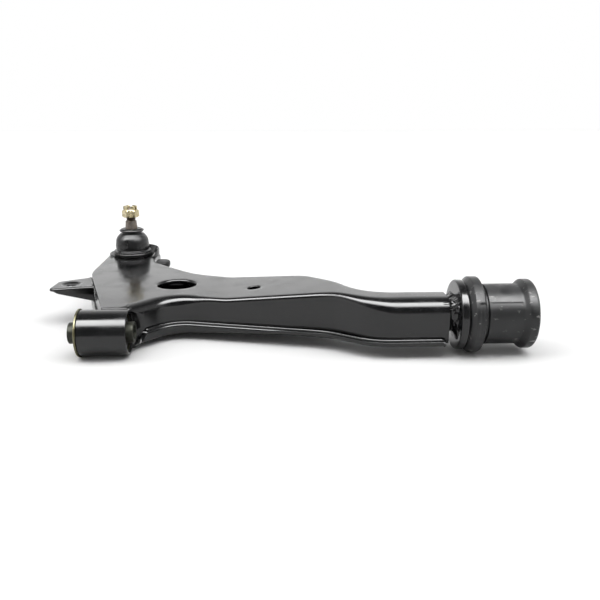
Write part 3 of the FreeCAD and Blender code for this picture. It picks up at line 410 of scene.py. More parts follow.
def texture(tree, kind, scale, detail=4.0, stretch=(1, 1, 1)):
    """A noise or cell texture in the object's own space, in metres."""
    place = tree.nodes.new("ShaderNodeTexCoord")
    mapping = tree.nodes.new("ShaderNodeMapping")
    mapping.inputs["Scale"].default_value = stretch
    tree.links.new(place.outputs["Object"], mapping.inputs["Vector"])
    node = tree.nodes.new("ShaderNodeTexNoise" if kind == "noise" else "ShaderNodeTexVoronoi")
    node.inputs["Scale"].default_value = scale
    if kind == "noise":
        node.inputs["Detail"].default_value = detail
    tree.links.new(mapping.outputs["Vector"], node.inputs["Vector"])
    return node.outputs["Fac"] if kind == "noise" else node.outputs["Distance"]


def spread(tree, source, low, high, start=0.35, end=0.65):
    """A texture's value stretched to run between two numbers."""
    node = tree.nodes.new("ShaderNodeMapRange")
    node.inputs["From Min"].default_value = start
    node.inputs["From Max"].default_value = end
    node.inputs["To Min"].default_value = low
    node.inputs["To Max"].default_value = high
    tree.links.new(source, node.inputs["Value"])
    return node.outputs["Result"]


def plug(tree, socket, value):
    """Feeds a socket from another node's output, or sets it."""
    if isinstance(value, bpy.types.NodeSocket):
        tree.links.new(value, socket)
    else:
        socket.default_value = value


def two_tone(tree, share, first, second):
    """Mixes two colours, each one fixed or another node's output."""
    node = tree.nodes.new("ShaderNodeMix")
    node.data_type = "RGBA"
    plug(tree, node.inputs["Factor"], share)
    for name, colour in (("A", first), ("B", second)):
        fixed = not isinstance(colour, bpy.types.NodeSocket)
        plug(tree, node.inputs[name], (*colour, 1) if fixed else colour)
    return node.outputs["Result"]


def maths(tree, operation, first, second=0.0):
    node = tree.nodes.new("ShaderNodeMath")
    node.operation = operation
    plug(tree, node.inputs[0], first)
    plug(tree, node.inputs[1], second)
    return node.outputs[0]


def bump(tree, shader, source, strength, distance, before=None):
    node = tree.nodes.new("ShaderNodeBump")
    node.inputs["Strength"].default_value = strength
    node.inputs["Distance"].default_value = distance
    tree.links.new(source, node.inputs["Height"])
    if before:
        tree.links.new(before, node.inputs["Normal"])
    tree.links.new(node.outputs["Normal"], shader.inputs["Normal"])
    return node.outputs["Normal"]


def gloss_paint(colour, name="gloss_black_paint", weld=False):
    """Dipped black paint: slow waves, faint orange peel, dust and dull patches."""
    material, tree, shader = new_material(name)
    dust = spread(tree, texture(tree, "noise", 900, 2), 0.0, 1.0, 0.66, 0.74)
    grey = tuple(part * 4 + 0.012 for part in colour)
    tree.links.new(two_tone(tree, dust, colour, grey), shader.inputs["Base Color"])
    dull = texture(tree, "noise", 38, 3)
    tree.links.new(spread(tree, dull, 0.10, 0.24), shader.inputs["Roughness"])
    waves = bump(tree, shader, texture(tree, "noise", 24, 1), 0.25, 0.0006)
    bump(tree, shader, texture(tree, "noise", 620, 2), 0.5 if weld else 0.10, 0.00008, waves)
    return material


def moulded_rubber(colour, name, roughness, scuffs=False):
    """Satin rubber with a fine grain, mottling and, on the bushes, pale scuff marks."""
    material, tree, shader = new_material(name)
    lighter = tuple(part * 1.9 + 0.003 for part in colour)
    mottle = spread(tree, texture(tree, "noise", 55, 5), 0.0, 1.0, 0.32, 0.72)
    tone = two_tone(tree, mottle, colour, lighter)
    if scuffs:
        marks = spread(tree, texture(tree, "noise", 210, 8, (0.5, 1.6, 1.0)), 0.0, 0.75, 0.62, 0.70)
        tone = two_tone(tree, marks, tone, (0.22, 0.215, 0.21))
    tree.links.new(tone, shader.inputs["Base Color"])
    patches = texture(tree, "noise", 70, 4)
    tree.links.new(spread(tree, patches, roughness - 0.08, roughness + 0.12), shader.inputs["Roughness"])
    shader.inputs["Specular IOR Level"].default_value = 0.42
    coarse = bump(tree, shader, texture(tree, "noise", 90, 5), 0.35, 0.0004)
    bump(tree, shader, texture(tree, "noise", 1500, 3), 0.35, 0.00006, coarse)
    return material


def plated_steel(colour, name, roughness, metallic=1.0, grain=(1, 1, 1), tint=0.82):
    """Plated or ground steel: a fine grain, patches of tone and uneven polish."""
    material, tree, shader = new_material(name)
    darker = tuple(part * tint * shade for part, shade in zip(colour, (1.0, 0.96, 0.86)))
    patches = spread(tree, texture(tree, "noise", 160, 4), 0.0, 1.0)
    tree.links.new(two_tone(tree, patches, colour, darker), shader.inputs["Base Color"])
    shader.inputs["Metallic"].default_value = metallic
    polish = texture(tree, "noise", 240, 4, grain)
    tree.links.new(spread(tree, polish, roughness - 0.06, roughness + 0.10), shader.inputs["Roughness"])
    bump(tree, shader, texture(tree, "noise", 1300, 4, grain), 0.3, 0.00005)
    return material


def rough_casting(colour):
    material, tree, shader = new_material("cast_black")
    lighter = tuple(part * 2.2 + 0.01 for part in colour)
    tone = spread(tree, texture(tree, "noise", 300, 6), 0.0, 1.0)
    tree.links.new(two_tone(tree, tone, colour, lighter), shader.inputs["Base Color"])
    tree.links.new(spread(tree, texture(tree, "noise", 180, 4), 0.35, 0.6), shader.inputs["Roughness"])
    shader.inputs["Specular IOR Level"].default_value = 0.18
    bump(tree, shader, texture(tree, "noise", 420, 6), 0.8, 0.0005)
    return material


FINISHES = {}


def materials():
    """Every finish of the arm, made once, by name."""
    if FINISHES:
        return FINISHES
    colours = bpy.context.scene.arm_colours
    FINISHES.update({
        "gloss_black_paint": gloss_paint(tuple(colours.paint)),
        "painted_weld": gloss_paint(tuple(colours.paint), "painted_weld", weld=True),
        "bush_rubber": moulded_rubber(tuple(colours.rubber), "bush_rubber", 0.40, scuffs=True),
        "boot_rubber": moulded_rubber(tuple(colours.boot), "boot_rubber", 0.34),
        "yellow_zinc": plated_steel(tuple(colours.zinc), "yellow_zinc", 0.24),
        "phosphated_steel": plated_steel(tuple(colours.phosphate), "phosphated_steel", 0.46,
                                         metallic=0.7),
        "stud_steel": plated_steel((0.17, 0.15, 0.135), "stud_steel", 0.36, grain=(1, 1, 9)),
        "ring_steel": plated_steel((0.10, 0.10, 0.105), "ring_steel", 0.34),
        "seat_plastic": plated_steel((0.74, 0.73, 0.68), "seat_plastic", 0.45, metallic=0.0),
        "cast_black": rough_casting((0.007, 0.007, 0.0075)),
        "dull_zinc": plated_steel((0.15, 0.145, 0.095), "dull_zinc", 0.40),
    })
    return FINISHES


# ---------------------------------------------------------------- shells

def plan_outline(step):
    """The arm seen from above, anticlockwise round from one side of the rear leg to the other."""
    end, left = SHELL_HIGH.x, SHELL_LOW.x
    outboard, leg = SHELL_HIGH.y, -SHELL_LOW.y
    corners = [
        (end, leg, None),
        (256 * MM, leg, 32 * MM), (204 * MM, 98 * MM, 45 * MM),
        (76 * MM, 154 * MM, 90 * MM), (19 * MM, 222 * MM, 40 * MM),
        (19 * MM, outboard, 33 * MM), (left, outboard, 33 * MM),
        (left, 165 * MM, 90 * MM), (-2 * MM, 11 * MM, None), (27 * MM, 11 * MM, None),
        (62 * MM, 53 * MM, 36 * MM), (222 * MM, 9 * MM, 70 * MM),
        (264 * MM, -leg, 55 * MM), (end, -leg, None)]
    return rounded_path(corners, closed=False, step=step)


def top_side_profile():
    """Side profile of the top: level, up to the crown, down to the leg."""
    return rounded_path([
        (SHELL_LOW.x, PLATE_Z, None), (118 * MM, PLATE_Z, 70 * MM),
        (232 * MM, 36 * MM, 70 * MM), (280 * MM, LEG_TOP, 70 * MM),
        (SHELL_HIGH.x, LEG_TOP, None)], closed=False)


def underside_profile():
    leg_floor = -12 * MM
    return rounded_path([
        (TRAY_LOW.x, TRAY_LOW.z, None), (60 * MM, TRAY_LOW.z, 70 * MM),
        (180 * MM, leg_floor, 70 * MM), (TRAY_HIGH.x, leg_floor, None)], closed=False)


def shoulder_at(point, sizes):
    """The top's edge radius: full beside the front bush, tight further on, large on the leg."""
    tight = ease(point.x, 66 * MM, 104 * MM)
    radius = sizes.shoulder_full + (sizes.shoulder_tight - sizes.shoulder_full) * tight
    on_leg = ease(point.x, 222 * MM, 292 * MM)
    radius += (sizes.shoulder_leg - radius) * on_leg
    outboard_radius, at_tube_radius = 4.0 * MM, 1.0 * MM
    radius += (outboard_radius - radius) * ease(point.y, 95 * MM, 150 * MM)
    if point.y < 11.5 * MM and point.x < 40 * MM:
        return at_tube_radius + (radius - at_tube_radius) * ease(point.x, 14 * MM, 27 * MM)
    left = 1 - ease(point.x, -2 * MM, 12 * MM)
    return radius + (sizes.shoulder_left - radius) * left


def clear_of_tube(point):
    """Lays a point that would be inside the eye tube just under its surface."""
    reach = math.hypot(point.y, point.z)
    limit = TUBE_RADIUS - 0.3 * MM
    if reach >= limit or not TUBE_LOW.x <= point.x <= TUBE_HIGH.x + BOLT_WAY:
        return point
    if reach < 1e-6:
        return Vector((point.x, limit, 0))
    return Vector((point.x, point.y * limit / reach, point.z * limit / reach))


def hole_rim(bm, centre, radius, roll, depth, height, steps=64, upward=False):
    """Rings of a hole whose edge is rolled over. The first ring lies in the plate."""
    sign = 1 if upward else -1
    rings = [(radius + roll * inward, roll * down) for inward, down in quarter_turn(6)]
    rings.append((radius, depth))
    made = []
    for ring_radius, drop in rings:
        points = []
        for index in range(steps):
            angle = math.tau * index / steps
            place_x = centre[0] + ring_radius * math.cos(angle)
            place_y = centre[1] + ring_radius * math.sin(angle)
            points.append((place_x, place_y, height(place_x, place_y) + sign * drop))
        made.append(add_ring(bm, points))
    join_rings(bm, made)
    return made[0]


class ARM_OT_upper_shell(bpy.types.Operator):
    """Builds the deep pressed half with its rolled shoulders, rims and raised lip"""
    bl_idname = "control_arm.upper_shell"
    bl_label = "Upper shell"

    def execute(self, context):
        sizes = context.scene.arm_sizes
        outline = plan_outline(sizes.outline_step)
        normals = outward_normals(outline)
        profile = top_side_profile()

        def height(place_x, _place_y):
            return height_along(profile, place_x)

        bm = bmesh.new()
        rings = []
        for inward, down in quarter_turn(10):
            points = []
            for point, normal in zip(outline, normals):
                radius = shoulder_at(point, sizes)
                spot = point - normal * radius * inward
                level = height(spot.x, spot.y) - radius * down
                points.append(clear_of_tube(Vector((spot.x, spot.y, level))))
            rings.append(add_ring(bm, points))
        floor = SHELL_LOW.z
        for share in (0.33, 0.66, 1.0):
            points = []
            for point in outline:
                start = height(point.x, point.y) - shoulder_at(point, sizes)
                points.append(clear_of_tube(Vector((point.x, point.y, start + (floor - start) * share))))
            rings.append(add_ring(bm, points))
        join_rings(bm, rings)
        holes = [
            hole_rim(bm, BIG_HOLE, 21 * MM, 2.6 * MM, 7 * MM, height),
            hole_rim(bm, SMALL_HOLE, 7 * MM, 1.2 * MM, 4 * MM, height, 40),
            hole_rim(bm, BALL_AXIS, half_width("ball_joint_housing") - 0.8 * MM, 0.6 * MM,
                     WALL, height)]
        fill_plate(bm, rings[0], holes, height)
        piece = finish_piece("pressed_upper_shell", bm, "gloss_black_paint", "arm",
                             ["upper_shell"], sharp=60, faces_up=True)
        thicken(piece, 1.4 * MM)
        raised_lip()
        return {"FINISHED"}


def raised_lip():
    """The curled lip behind the ball joint, which rises out of the plate on both sides."""
    inner, outer = 25.6 * MM, 32.3 * MM
    centre = Vector((BALL_AXIS.x + 2.3 * MM, BALL_AXIS.y))
    top, sink, curl = 31 * MM, 0.4 * MM, 1.7 * MM
    ramp_start, ramp_end = 244 * MM, 262 * MM
    bm = bmesh.new()
    rings = []
    start = math.asin((ramp_start - centre.y) / outer)
    steps = 90
    for index in range(steps + 1):
        angle = start + (math.pi - 2 * start) * index / steps
        direction = Vector((math.cos(angle), math.sin(angle)))
        rise = (top - PLATE_Z) * ease(centre.y + direction.y * outer, ramp_start, ramp_end)
        rise *= 0.4 + 0.6 * ease(direction.x, -0.7, 0.3)
        crest = PLATE_Z + rise
        root = PLATE_Z - sink
        crest_at = outer - curl
        section = [(outer, root)]
        for inward, down in quarter_turn(6):
            section.append((outer - curl * down, max(crest - inward * min(rise, curl), root)))
        for turn in range(1, 9):
            share = turn / 8
            section.append((crest_at + (inner - crest_at) * share,
                            root + (crest - root) * (1 - share) ** 1.6))
        rings.append(add_ring(bm, [
            (centre.x + direction.x * reach, centre.y + direction.y * reach, level)
            for reach, level in section]))
    join_rings(bm, rings, capped=True)
    finish_piece("raised_lip", bm, "gloss_black_paint", "arm", sharp=70)


class ARM_OT_lower_shell(bpy.types.Operator):
    """Builds the shallow tray with a rounded lower edge and its drain hole"""
    bl_idname = "control_arm.lower_shell"
    bl_label = "Lower shell"

    def execute(self, context):
        sizes = context.scene.arm_sizes
        outline = plan_outline(sizes.outline_step)
        normals = outward_normals(outline)
        profile = underside_profile()
        rim = TRAY_HIGH.z
        rim_round = 2.4 * MM

        def height(place_x, _place_y):
            return height_along(profile, place_x)

        def ring_at(out, level_of):
            points = []
            for point, normal in zip(outline, normals):
                spot = point + normal * (out(point) if callable(out) else out)
                spot.x = min(spot.x, TRAY_HIGH.x)
                points.append(clear_of_tube(Vector((spot.x, spot.y, level_of(point)))))
            return add_ring(bm, points)

        def edge_radius(point):
            return min(4.2 * MM, (rim - height(point.x, point.y)) * 0.72)

        bm = bmesh.new()
        out = WALL + SEAM_GAP
        rings = [ring_at(SEAM_GAP, lambda point: rim)]
        for inward, down in quarter_turn(4):
            rings.append(ring_at(out - rim_round * inward, lambda point, d=down: rim - rim_round * d))
        for inward, down in quarter_turn(8):
            rings.append(ring_at(
                lambda point, d=down: out - edge_radius(point) * d,
                lambda point, i=inward: height(point.x, point.y) + edge_radius(point) * i))
        join_rings(bm, rings)
        holes = [
            hole_rim(bm, SMALL_HOLE, 6 * MM, 1 * MM, 3 * MM, height, 40, upward=True),
            hole_rim(bm, BALL_AXIS, half_width("ball_joint_housing") + 0.1 * MM, 0.8 * MM,
                     WALL, height, upward=True)]
        fill_plate(bm, rings[-1], holes, height)
        piece = finish_piece("pressed_lower_shell", bm, "gloss_black_paint", "arm",
                             ["lower_shell"], sharp=60, faces_up=False)
        thicken(piece, 1.2 * MM)
        return {"FINISHED"}


class ARM_OT_welds(bpy.types.Operator):
    """Lays the rippled beads: seam, eye tube, tab and rear collar"""
    bl_idname = "control_arm.welds"
    bl_label = "Welds"

    def execute(self, context):
        sizes = context.scene.arm_sizes
        self.seam(sizes)
        self.tube(sizes)
        self.tab(sizes)
        self.collar()
        return {"FINISHED"}

    def finish(self, name, bm, node):
        finish_piece(name, bm, "painted_weld", "arm", [node], sharp=75, slot="gloss_black_paint")

    def seam(self, sizes):
        outline = plan_outline(0.8 * MM)
        normals = outward_normals(outline)
        rim = TRAY_HIGH.z
        bm = bmesh.new()
        runs = [[]]
        for point, normal in zip(outline, normals):
            centre = point + normal * sizes.weld_size * 0.28
            spot = Vector((centre.x, centre.y, rim + sizes.weld_size * 0.32))
            near_tube = math.hypot(spot.y, spot.z) < TUBE_RADIUS + 1 * MM
            at_tube = near_tube and spot.x < TUBE_HIGH.x + BOLT_WAY
            if at_tube or spot.x > TRAY_HIGH.x - 1 * MM:
                runs.append([])
            else:
                runs[-1].append(spot)
        fewest_points = 13
        for run in runs:
            if len(run) >= fewest_points:
                weld_bead(bm, run, sizes.weld_size * 0.60, sizes.weld_pitch)
        self.finish("seam_bead", bm, "seam_weld")

    def tube(self, sizes):
        low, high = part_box("tube_weld")
        bm = bmesh.new()
        path = []
        steps = 60
        for index in range(steps + 1):
            place = low.x + (high.x - low.x) * index / steps
            sway = 0.7 * MM * noise.noise(Vector((place * 190, 3.1, 0)))
            side = 11 * MM + sway
            path.append(Vector((place, side, math.sqrt(TUBE_RADIUS ** 2 - side ** 2) + 0.9 * MM)))
        weld_bead(bm, path, 1.7 * MM, sizes.weld_pitch * 0.9)
        self.finish("eye_tube_bead", bm, "tube_weld")

    def tab(self, sizes):
        low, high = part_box("bracket_weld")
        bm = bmesh.new()
        start = Vector((high.x - 1.2 * MM, low.y + 1 * MM, low.z))
        end = Vector((low.x + 1.2 * MM, high.y - 1 * MM, low.z))
        steps = 40
        weld_bead(bm, [start.lerp(end, index / steps) for index in range(steps + 1)],
                  1.4 * MM, sizes.weld_pitch)
        self.finish("tab_bead", bm, "bracket_weld")

    def collar(self):
        low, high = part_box("spindle_weld")
        start, end = low.x - 0.6 * MM, high.x + 0.3 * MM
        corner, inset = 7 * MM, 1.6 * MM
        loop = rounded_path([
            (low.y + inset, low.z + inset, corner), (high.y - inset, low.z + inset, corner),
            (high.y - inset, high.z - inset, corner), (low.y + inset, high.z - inset, corner)],
            step=0.9 * MM)
        centre = Vector((0, REAR_AXIS_Z))
        bm = bmesh.new()
        rings = []
        steps = 22
        for index in range(steps + 1):
            share = index / steps
            place = start + (end - start) * share
            points = []
            for point in loop:
                away = point - centre
                gap = 1 - ease(point.y, 0, 7 * MM)
                waist = math.sin(math.pi * min(share * 1.15, 1)) ** 0.6
                lump = noise.noise(Vector((place, point.x, point.y)) * 230)
                fine = noise.noise(Vector((place, point.x, point.y)) * 620)
                depth = 1.2 * MM + waist * (2.2 + 7.0 * gap) * MM + (1.8 * lump + 0.5 * fine) * MM
                spot = centre + away * (1 - max(depth, 0) / away.length)
                points.append((place, spot.x, spot.y))
            rings.append(add_ring(bm, points))
        join_rings(bm, rings, capped=True)
        self.finish("collar_neck_weld", bm, "spindle_weld")


# ---------------------------------------------------------------- tab and stop

class ARM_OT_tab(bpy.types.Operator):
    """Builds the pressed stabiliser tab with its dished hole and tapered side flanges"""
    bl_idname = "control_arm.tab"
    bl_label = "Stabiliser tab"

    def execute(self, context):
        low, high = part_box("stabiliser_bracket")
        top = high.z
        outline = rounded_path([
            (-46 * MM, high.y, None), (-79 * MM, 138 * MM, 6 * MM),
            (-81 * MM, 101.5 * MM, 6 * MM), (high.x, 113 * MM, None)],
            closed=False, step=1.5 * MM)
        normals = outward_normals(outline)
        hole = Vector((-61 * MM, 126 * MM))
        dish_radius, dish_depth = 10.5 * MM, 1.8 * MM
        edge = 2.2 * MM

        def height(place_x, place_y):
            reach = (Vector((place_x, place_y)) - hole).length
            return top - dish_depth * (1 - ease(reach, dish_radius - 2.5 * MM, dish_radius))

        def flange(point):
            tip = 1 - ease(point.x, low.x + 4 * MM, low.x + 10 * MM)
            share = (point.x - low.x) / (high.x - low.x)
            depth = 3 * MM + (top - low.z - 3 * MM) * max(share, 0)
            return depth + (3 * MM - depth) * tip

        bm = bmesh.new()
        rings = []
        for inward, down in quarter_turn(6):
            points = []
            for point, normal in zip(outline, normals):
                spot = point - normal * edge * inward
                points.append((spot.x, spot.y, top - edge * down))
            rings.append(add_ring(bm, points))
        for share in (0.5, 1.0):
            rings.append(add_ring(bm, [
                (point.x, point.y, top - edge - (flange(point) - edge) * share)
                for point in outline]))
        join_rings(bm, rings)
        rim = hole_rim(bm, hole, 5.25 * MM, 0.5 * MM, 1.8 * MM, height, 48)
        fill_plate(bm, rings[0], [rim], height, 1.6 * MM)
        piece = finish_piece("pressed_tab", bm, "gloss_black_paint", "arm",
                             ["stabiliser_bracket"], sharp=60, faces_up=True)
        thicken(piece, 1.8 * MM)
        return {"FINISHED"}


class ARM_OT_stop(bpy.types.Operator):
    """Builds the rough steering stop beside the ball joint"""
    bl_idname = "control_arm.stop"
    bl_label = "Steering stop"

    def execute(self, context):
        low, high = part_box("steering_stop")
        corner, edge = 9 * MM, 3.2 * MM
        outline = rounded_path([
            (low.x, low.y, None), (high.x, low.y, corner),
            (high.x, high.y, corner), (low.x, high.y, None)], closed=False, step=1.2 * MM)
        normals = outward_normals(outline)
        bm = bmesh.new()
        rings = []
        for base, sign in ((high.z, -1), (low.z, 1)):
            made = []
            for inward, down in quarter_turn(4):
                points = []
                for point, normal in zip(outline, normals):
                    spot = point - normal * edge * inward
                    rough = 0.15 * MM * noise.noise(Vector((spot.x, spot.y, base)) * 320)
                    level = base + sign * (edge * down + abs(rough))
                    points.append((spot.x, spot.y, level))
                made.append(add_ring(bm, points))
            rings += made if sign < 0 else made[::-1]
        join_rings(bm, rings)
        fill_plate(bm, rings[0], [], lambda x, y: high.z - 0.1 * MM, 2 * MM)
        fill_plate(bm, rings[-1], [], lambda x, y: low.z + 0.1 * MM, 2 * MM)
        finish_piece("cast_steering_stop", bm, "cast_black", "arm", ["steering_stop"], sharp=60)
        return {"FINISHED"}


# ---------------------------------------------------------------- front bush

class ARM_OT_front_bush(bpy.types.Operator):
    """Turns the eye tube, its flanged sleeve, the rubber and the inner sleeve"""
    bl_idname = "control_arm.front_bush"
    bl_label = "Front bush"

    def execute(self, context):
        segments = context.scene.arm_sizes.segments
        self.tube(segments)
        self.can(segments)
        self.rubber(segments)
        self.sleeve(segments)
        return {"FINISHED"}

    def lathe(self, name, corners, finish, body, nodes, segments, slot=None):
        bm = bmesh.new()
        turned(bm, rounded_path(corners, step=6 * MM), (0, 0, 0), segments=segments)
        finish_piece(name, bm, finish, body, nodes, slot=slot)

    def tube(self, segments):
        bore, edge = TUBE_RADIUS - WALL, 0.9 * MM
        self.lathe("eye_tube", [
            (TUBE_LOW.x, bore, None), (TUBE_HIGH.x, bore, 0.3 * MM),
            (TUBE_HIGH.x, TUBE_RADIUS, edge), (TUBE_LOW.x, TUBE_RADIUS, edge)],
            "gloss_black_paint", "arm", ["front_bush_tube"], segments)

    def can(self, segments):
        low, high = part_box("front_outer_sleeve")
        flange, outside = (high.z - low.z) / 2, TUBE_RADIUS - WALL
        inside_radius = outside - 1.5 * MM
        self.lathe("flanged_sleeve", [
            (low.x, inside_radius, 0.8 * MM), (high.x, inside_radius, 0.3 * MM),
            (high.x, outside, 0.3 * MM), (TUBE_LOW.x, outside, None),
            (TUBE_LOW.x, flange, 0.5 * MM), (low.x, flange, 0.9 * MM)],
            "dull_zinc", "arm", ["front_outer_sleeve"], segments, slot="yellow_zinc")
        # A thin black film lies on the sleeve's end inside the tube, so that end shows black.
        film = 0.25 * MM
        self.lathe("black_film_on_the_sleeve_end", [
            (high.x - film, inside_radius - film, None), (high.x + film, inside_radius - film, None),
            (high.x + film, outside - 0.02 * MM, None), (high.x - film, outside - 0.02 * MM, None)],
            "gloss_black_paint", "arm", [], segments)

    def rubber(self, segments):
        low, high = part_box("front_bush_rubber")
        sleeve = half_height("front_inner_sleeve")
        outside = (high.z - low.z) / 2
        hollow = (sleeve + outside) / 2
        dish = 3.5 * MM
        skirt = TUBE_LOW.x - 2 * MM
        fit = 0.05 * MM
        self.lathe("front_rubber", [
            (low.x, sleeve + fit, 0.6 * MM), (high.x, sleeve + fit, 0.6 * MM),
            (high.x - dish, hollow, 1.6 * MM), (high.x, outside, 0.5 * MM),
            (skirt, outside, 0.5 * MM), (low.x + dish, hollow, 1.6 * MM)],
            "bush_rubber", "arm", ["front_bush_rubber"], segments)

    def sleeve(self, segments):
        low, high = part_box("front_inner_sleeve")
        outside, bore, edge = (high.z - low.z) / 2, 7.15 * MM, 0.9 * MM
        self.lathe("pivot_sleeve", [
            (low.x, bore, 0.5 * MM), (high.x, bore, 0.5 * MM),
            (high.x, outside, edge), (low.x, outside, edge)],
            "phosphated_steel", "front_sleeve", ["front_inner_sleeve"], segments)


# ---------------------------------------------------------------- rear bush

class ARM_OT_rear_bush(bpy.types.Operator):
    """Turns the collar and the clamp-type rubber bush with its rebate and parting line"""
    bl_idname = "control_arm.rear_bush"
    bl_label = "Rear bush"

    def execute(self, context):
        segments = context.scene.arm_sizes.segments * 2
        centre = (0, 0, REAR_AXIS_Z)
        low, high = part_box("rear_collar")
        radius, bore = (high.z - low.z) / 2, half_height("rear_spindle")
        bm = bmesh.new()
        turned(bm, rounded_path([
            (low.x, bore, None), (high.x, bore, None),
            (high.x, radius, 2.6 * MM), (low.x, radius, 2.2 * MM)], step=4 * MM),
            centre, segments=segments)
        finish_piece("collar_disc", bm, "gloss_black_paint", "arm", ["rear_collar"])
        self.rubber(centre, segments)
        return {"FINISHED"}

    def rubber(self, centre, segments):
        start, end = RUBBER_LOW.x, RUBBER_HIGH.x
        bore = half_height("rear_inner_sleeve") + 0.05 * MM
        ring, barrel, flange = half_height("rear_bush_rubber"), 30 * MM, 34.4 * MM
        ring_end, groove_end = 368.5 * MM, 373 * MM
        corners = [
            (start, bore, 0.5 * MM), (end, bore, 1.5 * MM), (end, flange, 3.2 * MM),
            (411.5 * MM, flange, 2.2 * MM), (407 * MM, barrel, 2.5 * MM),
            (groove_end, barrel, 0.6 * MM), (groove_end - 0.3 * MM, barrel - 2.2 * MM, 0.8 * MM),
            (groove_end - 2.4 * MM, barrel - 2.2 * MM, 0.8 * MM),
            (ring_end + 1.2 * MM, ring - 5 * MM, 1.0 * MM), (ring_end - 1.5 * MM, ring, 1.6 * MM),
            (start + 4.5 * MM, ring, 1.6 * MM), (start, ring - 5 * MM, 1.5 * MM)]
        profile = rounded_path(corners, step=1.2 * MM)
        rebate_start, rebate_depth = 361.5 * MM, 0.9 * MM
        rebate_from, rebate_to = math.radians(148), math.radians(205)
        barrel_start, barrel_end = 374 * MM, 406 * MM
        parting, line_height, line_width = math.radians(142), 0.35 * MM, 0.016
        mismatch = 0.25 * MM

        def radius_at(place, radius, angle):
            size = radius
            on_ring = rebate_start < place < ring_end + 1 * MM and radius > ring - 3 * MM
            if on_ring and rebate_from < angle < rebate_to:
                size -= rebate_depth
            if barrel_start < place < barrel_end and radius > barrel - 1 * MM:
                away = abs(angle - parting)
                size += line_height * math.exp(-(away / line_width) ** 2)
                if angle >= parting:
                    size -= mismatch
            return size

        bm = bmesh.new()
        turned(bm, profile, centre, segments=segments, radius_at=radius_at)
        finish_piece("clamp_bush", bm, "bush_rubber", "rear_bush", ["rear_bush_rubber"], sharp=50)


# ---------------------------------------------------------------- ball joint

